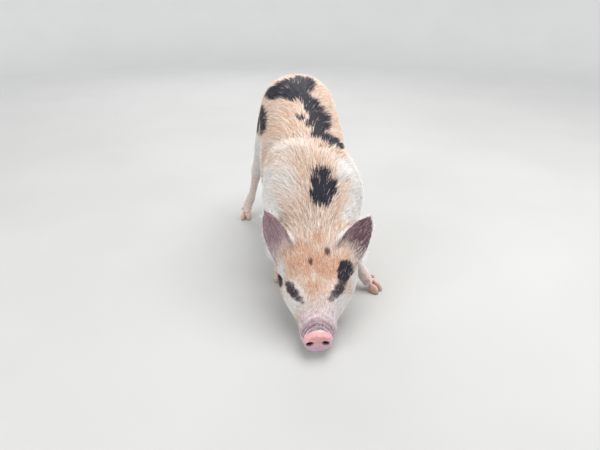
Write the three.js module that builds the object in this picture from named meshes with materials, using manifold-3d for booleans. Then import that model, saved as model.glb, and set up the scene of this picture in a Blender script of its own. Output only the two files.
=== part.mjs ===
// A kunekune piglet at life size, a still model that stands with its nose down at the ground.
// Millimetres, +Z up. The piglet faces -Y and its left side is +X.
// The origin is on the floor, under the middle of the piglet's outer box.

import * as THREE from "three";
import { mergeVertices } from "three/addons/utils/BufferGeometryUtils.js";
import Module from "manifold-3d";

const wasm = await Module();
wasm.setup();

// Driving dimensions
const gap = 0.35; // clear space between neighbouring pieces
const slit = 0.012; // half of the space at a cut through the body or a leg, in sections
const trunkWidth = 182; // across the ribs, coat included
const headWidth = 144; // across the jowls
const muzzleWidth = 63; // across the lips
const discWidth = 47;
const discHeight = 35;
const discDepth = 11;
const nostrilSpacing = 25;
const nostrilSize = [4.6, 7, 5.6]; // half of its width, depth and height
const eyeRadius = 9.5;
const earLeaf = { half: 32, thickness: 3.4, tipCurl: 12 }; // curl in degrees on each side
const legWidth = 23; // across a cannon
const clawSize = { length: 25, width: 12.5, height: 18 };
const tailThickness = 15;
const wattleLength = 26;
const wattleSpacing = 60;

const trunkHalf = trunkWidth / 2;
const headHalf = headWidth / 2;
const muzzleHalf = muzzleWidth / 2;
const legHalf = legWidth / 2;

// Numbers of faces
const bodySides = 22;
const legSides = 12;
const smallSides = 8;
const discSides = 16;
const clawSides = 8;
const ringsPerSection = 2;
const ballSides = [10, 6]; // around and from pole to pole

const colours = {
  cream: 0xd9b48f,
  white: 0xe6dcd6,
  ginger: 0xc98f5f,
  legSkin: 0xd8b3a3,
  earSkin: 0x7d5f62,
  noseSkin: 0xc58b86,
  horn: 0xcdb9a2,
  eye: 0x1d1413,
};
const finish = (color, roughness) => new THREE.MeshStandardMaterial({ color, roughness, metalness: 0 });
const furCream = finish(colours.cream, 0.85);
const furWhite = finish(colours.white, 0.85);
const furGinger = finish(colours.ginger, 0.85);
const legSkin = finish(colours.legSkin, 0.75);
const earSkin = finish(colours.earSkin, 0.7);
const noseSkin = finish(colours.noseSkin, 0.45);
const hoofHorn = finish(colours.horn, 0.5);
const eyeGloss = finish(colours.eye, 0.08);

// The body's sections from tail to lips: the middle of the back and of the belly as [y, z], half the
// width, the share of the height at which the section is widest, and its shift to the left side.
// The top is the power of the upper half's outline where it is squarer than the trunk's.
const bodySections = [
  { back: [247, 291], belly: [249, 236], half: 0.3 * trunkHalf, widest: 0.5, shift: -7 }, // tail root
  { back: [236, 320], belly: [234, 194], half: 0.64 * trunkHalf, widest: 0.5, shift: -7 }, // buttock
  { back: [206, 349], belly: [197, 164], half: 0.88 * trunkHalf, widest: 0.5, shift: -6 }, // pelvis
  { back: [152, 369], belly: [142, 143], half: 0.97 * trunkHalf, widest: 0.5, shift: -5 }, // hip
  { back: [82, 363], belly: [75, 118], half: 0.98 * trunkHalf, widest: 0.49, shift: -5 }, // loin
  { back: [12, 338], belly: [8, 103], half: 0.98 * trunkHalf, widest: 0.47, shift: -6 }, // barrel
  { back: [-50, 310], belly: [-45, 98], half: 0.96 * trunkHalf, widest: 0.46, shift: -5 }, // ribs
  { back: [-95, 293], belly: [-90, 98], half: 0.99 * trunkHalf, widest: 0.46, shift: 0 }, // withers
  { back: [-130, 266], belly: [-125, 101], half: 0.97 * trunkHalf, widest: 0.46, shift: 1 }, // shoulder
  { back: [-160, 235], belly: [-150, 93], half: 0.91 * trunkHalf, widest: 0.45, shift: 3 }, // neck base
  { back: [-185, 205], belly: [-172, 74], half: 1.05 * headHalf, widest: 0.44, shift: 3, top: 2.25 }, // neck
  { back: [-205, 180], belly: [-190, 56], half: headHalf, widest: 0.43, shift: 2, top: 2.3 }, // nape
  { back: [-221, 160], belly: [-203, 40], half: headHalf, widest: 0.4, shift: 2, top: 2.4 }, // ear base
  { back: [-238, 142], belly: [-220, 29], half: 0.98 * headHalf, widest: 0.4, shift: 1, top: 2.6 }, // jowl
  { back: [-254, 124], belly: [-237, 21], half: 0.89 * headHalf, widest: 0.4, shift: 0, top: 2.8 }, // cheek
  { back: [-269, 105], belly: [-254, 16], half: 0.75 * headHalf, widest: 0.42, shift: -2, top: 2.8 }, // eye
  { back: [-283, 86], belly: [-273, 13], half: 0.58 * headHalf, widest: 0.42, shift: -4.5, top: 2.5 }, // bridge
  { back: [-298, 69], belly: [-292, 12], half: 1.07 * muzzleHalf, widest: 0.42, shift: -7, top: 2.4 }, // nose
  { back: [-313, 56], belly: [-311, 10], half: 1.02 * muzzleHalf, widest: 0.42, shift: -9, top: 2.4 }, // lips
  { back: [-326, 46], belly: [-326, 11], half: 0.79 * muzzleHalf, widest: 0.5, shift: -11.5, top: 2.3 }, // disc
];
const trunkTop = 2.3; // the power of an upper half's outline, where 2 is an ellipse
const bellyPower = 2.25;
const headRoll = THREE.MathUtils.degToRad(5); // the crown turned a little to the right side

// Where the body is divided, counted in sections from the tail root
const bodyCuts = { rump: 0, barrel: 3.5, chest: 6.5, neck: 9, head: 11.5, end: bodySections.length - 1 };

// The legs' sections from the top of the blade or the croup to the pastern: the middle, half the
// depth from front to back, and half the width.
const foreLegLeft = [
  { at: [40, -78, 275], deep: 20, wide: 10 },
  { at: [60, -90, 240], deep: 41, wide: 21 },
  { at: [70, -98, 200], deep: 48, wide: 27 },
  { at: [72, -96, 165], deep: 40, wide: 27 },
  { at: [75, -94, 132], deep: 29, wide: 22 },
  { at: [81, -105, 105], deep: 21, wide: 1.5 * legHalf },
  { at: [86, -124, 75], deep: 16, wide: 1.22 * legHalf },
  { at: [93, -139, 48], deep: 12, wide: 0.96 * legHalf },
  { at: [100, -149, 30], deep: 13, wide: 1.08 * legHalf },
  { at: [113, -157, 13], deep: 12, wide: 1.08 * legHalf },
];
const foreLegRight = [
  { at: [-42, -78, 275], deep: 20, wide: 10 },
  { at: [-60, -90, 240], deep: 41, wide: 22 },
  { at: [-65, -98, 200], deep: 48, wide: 27 },
  { at: [-67, -92, 165], deep: 40, wide: 27 },
  { at: [-69, -82, 132], deep: 29, wide: 22 },
  { at: [-68, -84, 103], deep: 21, wide: 1.5 * legHalf },
  { at: [-67, -91, 70], deep: 16, wide: 1.26 * legHalf },
  { at: [-64, -93, 44], deep: 12.5, wide: legHalf },
  { at: [-63, -95, 27], deep: 14, wide: 1.17 * legHalf },
  { at: [-62, -101, 11], deep: 12.5, wide: 1.13 * legHalf },
];
const hindLegRight = [
  { at: [-43, 166, 328], deep: 34, wide: 12 },
  { at: [-64, 170, 284], deep: 60, wide: 28 },
  { at: [-69, 164, 235], deep: 62, wide: 31 },
  { at: [-82, 156, 195], deep: 46, wide: 27 },
  { at: [-94, 172, 155], deep: 28, wide: 1.7 * legHalf },
  { at: [-105, 203, 115], deep: 18, wide: 1.25 * legHalf },
  { at: [-114, 205, 76], deep: 13.5, wide: 1.04 * legHalf },
  { at: [-124, 202, 46], deep: 12.5, wide: 1.04 * legHalf },
  { at: [-132, 198, 27], deep: 14, wide: 1.17 * legHalf },
  { at: [-135, 190, 11], deep: 12.5, wide: 1.13 * legHalf },
];
const hindLegLeft = [
  { at: [30, 166, 328], deep: 34, wide: 12 },
  { at: [50, 170, 284], deep: 60, wide: 28 },
  { at: [59, 162, 235], deep: 62, wide: 31 },
  { at: [67, 150, 195], deep: 46, wide: 27 },
  { at: [74, 168, 155], deep: 28, wide: 1.7 * legHalf },
  { at: [80, 200, 115], deep: 18, wide: 1.25 * legHalf },
  { at: [80, 202, 76], deep: 13.5, wide: 1.04 * legHalf },
  { at: [80, 199, 46], deep: 12.5, wide: 1.04 * legHalf },
  { at: [80, 194, 27], deep: 14, wide: 1.17 * legHalf },
  { at: [81, 186, 11], deep: 12.5, wide: 1.13 * legHalf },
];
const legCuts = { upper: 0, lower: 4, foot: 7.5, end: 9 }; // counted in sections from the top

// Each foot's claws: the middle of the pair on the floor and how far the toes turn to the left side
const feet = {
  fore_left: { leg: foreLegLeft, middle: [124, -163], turn: 48 },
  fore_right: { leg: foreLegRight, middle: [-62, -109], turn: -4 },
  hind_left: { leg: hindLegLeft, middle: [82, 178], turn: 4 },
  hind_right: { leg: hindLegRight, middle: [-137, 182], turn: -8 },
};

// Ears: the middle of the funnel at the head, the tip, the way the opening faces, and the curl of
// the funnel in degrees on each side
const ears = {
  left: { root: [54, -228, 134], tip: [96, -194, 182], opening: [0.2, -0.91, 0.36], rootCurl: 26 },
  right: { root: [-58, -216, 130], tip: [-89, -190, 200], opening: [-0.48, -0.84, 0.22], rootCurl: 44 },
};

// The foremost points of the eyes
const eyeFronts = { left: [31.5, -276.6, 87], right: [-49, -269.8, 84.5] };

const tailPath = [
  { at: [0, 244, 284], deep: 0.5 * tailThickness, wide: 0.5 * tailThickness },
  { at: [1, 262, 273], deep: 0.46 * tailThickness, wide: 0.46 * tailThickness },
  { at: [5, 270, 240], deep: 0.36 * tailThickness, wide: 0.36 * tailThickness },
  { at: [9, 269, 205], deep: 0.3 * tailThickness, wide: 0.3 * tailThickness },
  { at: [10, 266, 176], deep: 0.34 * tailThickness, wide: 0.34 * tailThickness },
  { at: [9, 264, 152], deep: 0.12 * tailThickness, wide: 0.12 * tailThickness },
];

const vector = (list) => new THREE.Vector3(...list);

// Closed shapes from rings of points

// Joins rings of equally many points into one closed surface, with a fan over each end.
function closedLoft(rings) {
  const sides = rings[0].length;
  const points = rings.flat();
  const middleOf = (ring) => ring.reduce((sum, p) => sum.add(p), vector([0, 0, 0])).divideScalar(sides);
  const first = points.push(middleOf(rings[0])) - 1;
  const last = points.push(middleOf(rings.at(-1))) - 1;
  const faces = [];
  for (let ring = 0; ring < rings.length - 1; ring++) {
    for (let side = 0; side < sides; side++) {
      const a = ring * sides + side;
      const b = ring * sides + ((side + 1) % sides);
      faces.push([a, b, a + sides], [b, b + sides, a + sides]);
    }
  }
  const end = (rings.length - 1) * sides;
  for (let side = 0; side < sides; side++) {
    const next = (side + 1) % sides;
    faces.push([first, next, side], [last, end + side, end + next]);
  }
  const signedVolume = faces.reduce((sum, [a, b, c]) => {
    return sum + points[a].dot(points[b].clone().cross(points[c]));
  }, 0);
  const outward = signedVolume > 0 ? faces : faces.map(([a, b, c]) => [a, c, b]);
  const geometry = new THREE.BufferGeometry().setFromPoints(points);
  geometry.setIndex(outward.flat());
  geometry.computeVertexNormals();
  return geometry;
}

// A smooth value between the list's values on both sides of a place (a Catmull-Rom spline).
function smoothValue(list, place, read) {
  const last = list.length - 1;
  const start = Math.max(0, Math.min(Math.floor(place), last - 1));
  const part = place - start;
  const value = (index) => {
    if (index < 0) return 2 * read(list[0]) - read(list[1]);
    if (index > last) return 2 * read(list[last]) - read(list[last - 1]);
    return read(list[index]);
  };
  const [before, from, to, after] = [-1, 0, 1, 2].map((step) => value(start + step));
  const bend = 2 * before - 5 * from + 4 * to - after;
  const twist = 3 * (from - to) + after - before;
  return 0.5 * (2 * from + (to - before) * part + bend * part ** 2 + twist * part ** 3);
}

// The rings' places along a piece: its ends, and every place between them that falls on the common
// ring spacing, so that neighbours and grown copies have the same facets. A grown piece also
// reaches a little past both of its ends.
function placesBetween(from, to, grow) {
  const first = Math.floor(from * ringsPerSection + 0.1) + 1;
  const last = Math.ceil(to * ringsPerSection - 0.1) - 1;
  const inner = Array.from({ length: last - first + 1 }, (_, step) => (first + step) / ringsPerSection);
  const places = [from, ...inner, to];
  const past = 2 * slit;
  return grow > 0 ? [from - past, ...places, to + past] : places;
}

const softPower = (value, power) => Math.sign(value) * Math.abs(value) ** (2 / power);

// One ring of the body: half of a rounded section above its widest height and half below.
function bodyRing(place, grow) {
  const read = (field) => smoothValue(bodySections, place, field);
  const back = new THREE.Vector2(read((s) => s.back[0]), read((s) => s.back[1]));
  const belly = new THREE.Vector2(read((s) => s.belly[0]), read((s) => s.belly[1]));
  const widest = read((s) => s.widest);
  const half = read((s) => s.half) + grow;
  const shift = read((s) => s.shift);
  const top = read((s) => s.top ?? trunkTop);
  const rise = back.clone().sub(belly);
  const up = rise.clone().normalize();
  const middle = belly.clone().addScaledVector(rise, widest);
  const above = rise.length() * (1 - widest) + grow;
  const below = rise.length() * widest + grow;
  const rollIn = THREE.MathUtils.smoothstep(place, 11, 14); // from the nape to the cheeks
  const rollOut = THREE.MathUtils.smoothstep(-place, -19, -16); // from the eyes to the disc
  const roll = headRoll * rollIn * rollOut;
  return Array.from({ length: bodySides }, (_, side) => {
    const angle = (2 * Math.PI * side) / bodySides;
    const power = Math.sin(angle) > 0 ? top : bellyPower;
    const sideStep = half * softPower(Math.cos(angle), power);
    const upStep = (Math.sin(angle) > 0 ? above : below) * softPower(Math.sin(angle), power);
    const across = sideStep * Math.cos(roll) - upStep * Math.sin(roll);
    const lift = upStep * Math.cos(roll) + sideStep * Math.sin(roll);
    return vector([shift + across, middle.x + up.x * lift, middle.y + up.y * lift]);
  });
}

function bodyPiece(from, to, grow = 0) {
  return closedLoft(placesBetween(from, to, grow).map((place) => bodyRing(place, grow)));
}

// One ring of a leg, the tail or a wattle, square to the path through the sections' middles.
function limbRing(sections, place, sides, grow) {
  const read = (field) => smoothValue(sections, place, field);
  const middleAt = (where) => {
    return vector([0, 1, 2].map((axis) => smoothValue(sections, where, (s) => s.at[axis])));
  };
  const reach = 0.6; // far enough for the rings to turn slowly and never cross
  const last = sections.length - 1;
  const ahead = middleAt(Math.min(place + reach, last));
  const along = ahead.sub(middleAt(Math.max(place - reach, 0))).normalize();
  const forward = vector([1, 0, 0]).cross(along).normalize();
  const sideways = along.clone().cross(forward).normalize();
  const middle = middleAt(place);
  const deep = read((s) => s.deep) + grow;
  const wide = read((s) => s.wide) + grow;
  return Array.from({ length: sides }, (_, side) => {
    const angle = (2 * Math.PI * side) / sides;
    const spot = middle.clone().addScaledVector(forward, deep * Math.cos(angle));
    return spot.addScaledVector(sideways, wide * Math.sin(angle));
  });
}

function limbPiece(sections, from, to, sides = legSides, grow = 0) {
  return closedLoft(placesBetween(from, to, grow).map((place) => limbRing(sections, place, sides, grow)));
}

// Cuts between solids

function solidOf(geometry) {
  const bare = geometry.clone();
  bare.deleteAttribute("normal");
  bare.deleteAttribute("uv");
  const merged = mergeVertices(bare, 1e-3);
  const vertProperties = new Float32Array(merged.attributes.position.array);
  const triVerts = new Uint32Array(merged.index.array);
  return new wasm.Manifold(new wasm.Mesh({ numProp: 3, vertProperties, triVerts }));
}

function geometryOf(solid) {
  const { vertProperties, triVerts } = solid.getMesh();
  const geometry = new THREE.BufferGeometry();
  geometry.setAttribute("position", new THREE.BufferAttribute(vertProperties, 3));
  geometry.setIndex(new THREE.BufferAttribute(triVerts, 1));
  geometry.computeVertexNormals();
  return geometry;
}

// Cuts the tools out of a solid and drops the thin splinters that a cut can leave beside it.
function cutBy(solid, tools) {
  const rest = tools.reduce((kept, tool) => kept.subtract(tool), solid);
  return rest.decompose().reduce((largest, body) => (body.volume() > largest.volume() ? body : largest));
}

// Head: eyes, jaw, nose disc and ears

// Each eyeball lies behind its front point, which the head's roll has moved to the right side.
function eyeball(side, grow = 0) {
  const front = vector(side > 0 ? eyeFronts.left : eyeFronts.right);
  const inward = vector([-side * 0.66, 0.62, -0.42]).normalize();
  const middle = front.addScaledVector(inward, eyeRadius);
  const ball = new THREE.SphereGeometry(eyeRadius + grow, ...ballSides);
  return ball.translate(middle.x, middle.y, middle.z);
}

// The space of the lower jaw: all of the head below a line from the lips to the corner of the mouth.
function jawSpace(grow = 0) {
  const outline = [
    [-345, 21],
    [-300, 24],
    [-268, 33],
    [-252, 20],
    [-246, -10],
    [-345, -10],
  ];
  const shape = new THREE.Shape(outline.map(([y, z]) => new THREE.Vector2(y, z + (z > 0 ? grow : 0))));
  const prism = new THREE.ExtrudeGeometry(shape, { depth: 2 * headWidth, bevelEnabled: false });
  // the outline lies in Y and Z and is carried across in X
  const turned = prism.applyMatrix4(
    new THREE.Matrix4().makeBasis(vector([0, 1, 0]), vector([0, 0, 1]), vector([1, 0, 0])),
  );
  return turned.translate(-headWidth, grow, 0);
}

function snoutDisc() {
  const profile = [
    { out: 0, size: 0.9 },
    { out: 0.3, size: 1 },
    { out: 0.7, size: 1 },
    { out: 0.9, size: 0.93 },
    { out: 1, size: 0.74 },
  ];
  const muzzleEnd = bodySections.at(-1);
  const face = muzzleEnd.back[0] - gap;
  const level = (muzzleEnd.back[1] + muzzleEnd.belly[1]) / 2;
  const rings = profile.map(({ out, size }) =>
    Array.from({ length: discSides }, (_, side) => {
      const angle = (2 * Math.PI * side) / discSides;
      const across = (discWidth / 2) * size * softPower(Math.cos(angle), 2.3);
      const lift = (discHeight / 2) * size * softPower(Math.sin(angle), 2.3);
      return vector([muzzleEnd.shift + across, face - discDepth * out, level + lift]);
    }),
  );
  const nostril = (side) => {
    const pit = new THREE.SphereGeometry(1, ...ballSides).scale(...nostrilSize);
    const across = muzzleEnd.shift + (side * nostrilSpacing) / 2;
    return solidOf(pit.translate(across, face - discDepth, level + 1));
  };
  return geometryOf(cutBy(solidOf(closedLoft(rings)), [nostril(-1), nostril(1)]));
}

// Half of an ear's cross section, from the middle of its back to one edge: steps of equal length
// that turn more and more towards the opening. Each point is [across, forward].
function curledHalf(half, curl, columns) {
  const points = [[0, 0]];
  for (let column = 1; column <= columns; column++) {
    const turn = curl * ((column - 0.5) / columns) ** 0.8;
    const [across, forward] = points.at(-1);
    const step = half / columns;
    points.push([across + step * Math.cos(turn), forward + step * Math.sin(turn)]);
  }
  return points;
}

// An ear is a funnel at its root and opens into a flat leaf towards its tip. Each ring runs along
// the leaf's inside and returns along its back.
function earSolid({ root, tip, opening, rootCurl }) {
  const along = vector(tip).sub(vector(root));
  const length = along.length();
  along.normalize();
  const front = vector(opening);
  front.addScaledVector(along, -front.dot(along)).normalize();
  const across = front.clone().cross(along);
  const start = -0.24; // the root begins inside the head
  const rows = 9;
  const columns = 4;
  const rings = Array.from({ length: rows + 1 }, (_, row) => {
    const reach = start + ((1 - start) * row) / rows;
    const climb = Math.max(reach, 0);
    const flare = 1 - 0.1 * (1 - climb) ** 3; // the root is a little narrower
    const half = earLeaf.half * flare * Math.max(1 - climb ** 2, 0.001) ** 0.75;
    const curl = THREE.MathUtils.degToRad(rootCurl * (1 - climb) ** 2 + earLeaf.tipCurl);
    const side = curledHalf(half, curl, columns);
    const depth = side.at(-1)[1];
    const section = [...side.slice(1).reverse().map(([x, y]) => [-x, y]), ...side];
    const thickness = earLeaf.thickness * (1 - 0.6 * climb) * Math.min(1, 0.3 + 4 * (1 - climb));
    const spot = ([x, y], inside) => {
      const middleStep = Math.max(1 - (Math.hypot(x, y) / half) ** 4, 0.4); // thinner at the edges
      const shrink = 1 - (inside * 0.5 * thickness * middleStep) / Math.max(half, thickness);
      const place = vector(root).addScaledVector(along, length * reach);
      place.addScaledVector(across, x * shrink);
      const layer = 0.5 * inside * thickness * middleStep;
      return place.addScaledVector(front, (y - 0.5 * depth) * shrink + layer);
    };
    return [...section.map((p) => spot(p, 1)), ...section.reverse().map((p) => spot(p, -1))];
  });
  return closedLoft(rings);
}

// Two small wattles hang from the throat.
function wattlePath(side) {
  const top = [side * wattleSpacing / 2 + 2, -205, 52];
  return [
    { at: top, deep: 4.5, wide: 4.5 },
    { at: [top[0] + side, top[1], top[2] - 0.5 * wattleLength], deep: 4, wide: 4 },
    { at: [top[0] + side, top[1] - 2, top[2] - wattleLength], deep: 5, wide: 4.6 },
    { at: [top[0] + side, top[1] - 3, top[2] - 1.45 * wattleLength], deep: 2, wide: 2 },
  ];
}

// Feet: two main claws on flat soles and two small dewclaws behind

function claw(side, grow = 0) {
  const profile = [
    { height: 0, size: 1, back: 0 },
    { height: 0.5, size: 0.94, back: 0.04 },
    { height: 0.85, size: 0.74, back: 0.14 },
    { height: 1, size: 0.45, back: 0.22 },
  ];
  const { length, width, height } = clawSize;
  const rings = profile.map((level) =>
    Array.from({ length: clawSides }, (_, step) => {
      const angle = (2 * Math.PI * step) / clawSides;
      const y = (length / 2) * level.size * softPower(Math.sin(angle), 2.4);
      const narrowing = 1 - 0.35 * Math.max(0, -y / (length / 2)) ** 2; // towards the tip
      const x = (width / 2) * level.size * narrowing * softPower(Math.cos(angle), 2.4);
      const outX = x + Math.sign(x) * grow;
      const outY = y + Math.sign(y) * grow + level.back * length;
      const sole = level.height === 0 ? -grow : grow;
      return vector([side * (width / 2 + 0.9) + outX, outY, level.height * height + sole]);
    }),
  );
  return closedLoft(rings);
}

function dewclaw(side, grow = 0) {
  const rings = [
    { at: [side * 8.5, 9, 27], radius: 3.4 },
    { at: [side * 10, 16.5, 22.5], radius: 4.2 },
    { at: [side * 10.8, 21.5, 17.5], radius: 1.6 },
  ];
  const along = vector([side * 0.15, 0.8, -0.6]).normalize();
  const sideways = vector([0, 0, 1]).cross(along).normalize();
  const upward = along.clone().cross(sideways);
  return closedLoft(
    rings.map(({ at, radius }, index) =>
      Array.from({ length: smallSides }, (_, step) => {
        const angle = (2 * Math.PI * step) / smallSides;
        const ends = index === 0 ? -grow : grow;
        const spot = vector(at).addScaledVector(along, ends);
        spot.addScaledVector(sideways, (radius + grow) * Math.cos(angle));
        return spot.addScaledVector(upward, (radius + grow) * Math.sin(angle));
      }),
    ),
  );
}

// Lists each horny piece of a foot by name, in the piglet's own frame.
function hornPieces(foot, grow = 0) {
  const placed = (geometry) => {
    geometry.rotateZ(THREE.MathUtils.degToRad(foot.turn));
    return geometry.translate(foot.middle[0], foot.middle[1], 0);
  };
  const outside = Math.sign(foot.middle[0]);
  return {
    claw_outer: placed(claw(outside, grow)),
    claw_inner: placed(claw(-outside, grow)),
    dewclaw_outer: placed(dewclaw(outside, grow)),
    dewclaw_inner: placed(dewclaw(-outside, grow)),
  };
}

// The piglet

const piglet = new THREE.Group();

function addPiece(name, geometry, material) {
  const mesh = new THREE.Mesh(geometry, material);
  mesh.name = name;
  piglet.add(mesh);
}

const legSpaces = Object.values(feet).map(({ leg }) => {
  return solidOf(limbPiece(leg, legCuts.upper, legCuts.end, legSides, gap));
});
const eyeSpaces = [-1, 1].map((side) => solidOf(eyeball(side, gap)));
const wattleSpaces = [-1, 1].map((side) => solidOf(limbPiece(wattlePath(side), 0, 3, smallSides, gap)));

// Trunk and neck, each cut by the legs
const trunkPieces = [
  { name: "rump", from: bodyCuts.rump, to: bodyCuts.barrel - slit, material: furCream },
  { name: "barrel", from: bodyCuts.barrel + slit, to: bodyCuts.chest - slit, material: furCream },
  { name: "chest", from: bodyCuts.chest + slit, to: bodyCuts.neck - slit, material: furWhite },
  { name: "neck", from: bodyCuts.neck + slit, to: bodyCuts.head - slit, material: furCream },
];
for (const { name, from, to, material } of trunkPieces) {
  addPiece(name, geometryOf(cutBy(solidOf(bodyPiece(from, to)), legSpaces)), material);
}

const wholeHead = solidOf(bodyPiece(bodyCuts.head + slit, bodyCuts.end));
const headCuts = [solidOf(jawSpace(gap)), ...eyeSpaces, ...wattleSpaces];
addPiece("head", geometryOf(cutBy(wholeHead, headCuts)), furGinger);
addPiece("jaw", geometryOf(wholeHead.intersect(solidOf(jawSpace()))), furWhite);
addPiece("snout_disc", snoutDisc(), noseSkin);

const headSpace = solidOf(bodyPiece(bodyCuts.neck, bodyCuts.end, gap));
for (const [sideName, shape] of Object.entries(ears)) {
  addPiece(`ear_${sideName}`, geometryOf(cutBy(solidOf(earSolid(shape)), [headSpace])), earSkin);
}
for (const [sideName, side] of [["left", 1], ["right", -1]]) {
  addPiece(`eye_${sideName}`, eyeball(side), eyeGloss);
  addPiece(`wattle_${sideName}`, limbPiece(wattlePath(side), 0, 3, smallSides), legSkin);
}

const rumpSpace = solidOf(bodyPiece(bodyCuts.rump, bodyCuts.barrel, gap));
const wholeTail = solidOf(limbPiece(tailPath, 0, tailPath.length - 1, smallSides));
addPiece("tail", geometryOf(wholeTail.subtract(rumpSpace)), furCream);

for (const [footName, foot] of Object.entries(feet)) {
  const horn = hornPieces(foot);
  const hornSpaces = Object.values(hornPieces(foot, gap)).map(solidOf);
  const upper = limbPiece(foot.leg, legCuts.upper, legCuts.lower - slit);
  const lower = limbPiece(foot.leg, legCuts.lower + slit, legCuts.foot - slit);
  const fleshyFoot = solidOf(limbPiece(foot.leg, legCuts.foot + slit, legCuts.end));
  addPiece(`${footName}_upper_leg`, upper, furCream);
  addPiece(`${footName}_lower_leg`, geometryOf(cutBy(solidOf(lower), hornSpaces)), legSkin);
  addPiece(`${footName}_foot`, geometryOf(cutBy(fleshyFoot, hornSpaces)), legSkin);
  for (const [pieceName, geometry] of Object.entries(horn)) {
    addPiece(`${footName}_${pieceName}`, geometry, hoofHorn);
  }
}

// The origin moves to the floor under the middle of the outer box.
const outerBox = new THREE.Box3().setFromObject(piglet);
const middle = outerBox.getCenter(vector([0, 0, 0]));
piglet.position.set(-middle.x, -middle.y, 0);
const part = new THREE.Group();
part.add(piglet);

export default part;
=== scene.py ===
import math
import bpy
import numpy as np
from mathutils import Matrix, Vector
from mathutils.bvhtree import BVHTree


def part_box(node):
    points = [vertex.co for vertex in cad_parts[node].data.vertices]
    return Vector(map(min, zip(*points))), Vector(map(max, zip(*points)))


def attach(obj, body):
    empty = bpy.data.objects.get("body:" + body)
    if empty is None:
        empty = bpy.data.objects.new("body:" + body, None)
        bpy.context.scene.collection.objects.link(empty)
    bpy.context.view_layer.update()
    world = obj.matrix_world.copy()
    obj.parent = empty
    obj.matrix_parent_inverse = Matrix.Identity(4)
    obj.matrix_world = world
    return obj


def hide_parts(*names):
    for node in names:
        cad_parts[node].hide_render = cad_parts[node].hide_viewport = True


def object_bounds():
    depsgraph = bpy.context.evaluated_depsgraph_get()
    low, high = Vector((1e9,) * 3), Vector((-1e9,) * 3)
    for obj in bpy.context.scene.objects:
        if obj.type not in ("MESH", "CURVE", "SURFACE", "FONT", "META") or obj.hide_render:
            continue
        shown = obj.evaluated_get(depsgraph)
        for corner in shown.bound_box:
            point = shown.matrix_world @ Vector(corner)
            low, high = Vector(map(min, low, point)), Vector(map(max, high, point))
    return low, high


# A kunekune piglet: one skin over the solids, a coat of bristles on it, eyes, hooves and a pale studio.
# Metres, +Z up, the piglet faces -Y and its left side is +X.

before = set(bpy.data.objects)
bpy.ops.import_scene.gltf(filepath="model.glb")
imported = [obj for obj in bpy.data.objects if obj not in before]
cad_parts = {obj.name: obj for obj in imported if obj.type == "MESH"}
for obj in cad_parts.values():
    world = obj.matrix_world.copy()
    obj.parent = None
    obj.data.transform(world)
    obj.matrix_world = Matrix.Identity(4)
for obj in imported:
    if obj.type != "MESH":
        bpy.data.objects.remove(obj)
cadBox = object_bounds()
mm = 0.001
print("frame loaded")

# Camera

cameraView = {
    "fromDisc": (-0.077, -0.5435),  # from the front of the snout disc
    "height": 0.52,
    "down": 27.0,  # degrees
    "turn": -5.0,
    "focal": 450.0,  # pixels of the photo's 600 x 450 frame
    "frameSize": (600, 450),
}


def makeCamera():
    low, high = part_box("snout_disc")
    aside, before = cameraView["fromDisc"]
    data = bpy.data.cameras.new("photo_camera")
    data.sensor_width = 36.0
    data.lens = data.sensor_width * cameraView["focal"] / cameraView["frameSize"][0]
    camera = bpy.data.objects.new("photo_camera", data)
    camera.location = ((low.x + high.x) / 2 + aside, low.y + before, cameraView["height"])
    camera.rotation_euler = (math.radians(90 - cameraView["down"]), 0, math.radians(cameraView["turn"]))
    bpy.context.scene.collection.objects.link(camera)
    bpy.context.scene.camera = camera
    bpy.context.view_layer.update()
    return camera


camera = makeCamera()
print("camera placed")

# Rows of vectors, ramps and noise


def unitRows(rows):
    return rows / np.maximum(np.linalg.norm(rows, axis=-1, keepdims=True), 1e-9)


# 0 up to low, 1 from high on, and an S curve between them
def rampUp(value, low, high):
    part = np.clip((value - low) / (high - low), 0, 1)
    return part * part * (3 - 2 * part)


def rampDown(value, low, high):
    return 1 - rampUp(value, low, high)


# 1 at the middle, falling off to both sides by the square of the distance over the spread
def bell(value, middle, spread):
    return np.exp(-(((value - middle) / spread) ** 2))


# the part of each row that lies in the surface, with length 1
def alongSurface(rows, normals):
    return unitRows(rows - (rows * normals).sum(1, keepdims=True) * normals)


def mixRows(first, second, share):
    return first + (second - first) * np.clip(share, 0, 1)[:, None]


# each named colour laid over the ones before it, by its own share at each point
def layered(colour, colours, layers):
    for name, share in layers:
        colour = mixRows(colour, colours[name], share)
    return colour


# large whole numbers that scatter a lattice corner's place into a random value
scatterKeys = {"axes": np.array([73856093, 19349663, 83492791]), "seed": 2654435, "mix": 1274126177}


# random values at the corners of a cubic lattice, blended inside each cell by an S curve, 0 to 1
def softNoise(points, cell, seed):
    places = np.asarray(points) / cell
    base = np.floor(places).astype(np.int64)
    part = places - base
    part = part * part * (3 - 2 * part)
    total = np.zeros(len(places))
    for corner in range(8):
        step = np.array([corner & 1, corner >> 1 & 1, corner >> 2 & 1])
        key = ((base + step) * scatterKeys["axes"]).sum(1) + seed * scatterKeys["seed"]
        key = (key ^ (key >> 13)) * scatterKeys["mix"]
        value = ((key ^ (key >> 16)) & 0xFFFF) / 65535
        total += value * np.prod(np.where(step, part, 1 - part), axis=1)
    return total


# a colour as it reads on a screen, 0 to 255, as the linear values a material takes
def paint(red, green, blue):
    screen = np.array([red, green, blue]) / 255
    return np.where(screen <= 0.04045, screen / 12.92, ((screen + 0.055) / 1.055) ** 2.4)


# Meshes to and from arrays


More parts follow.
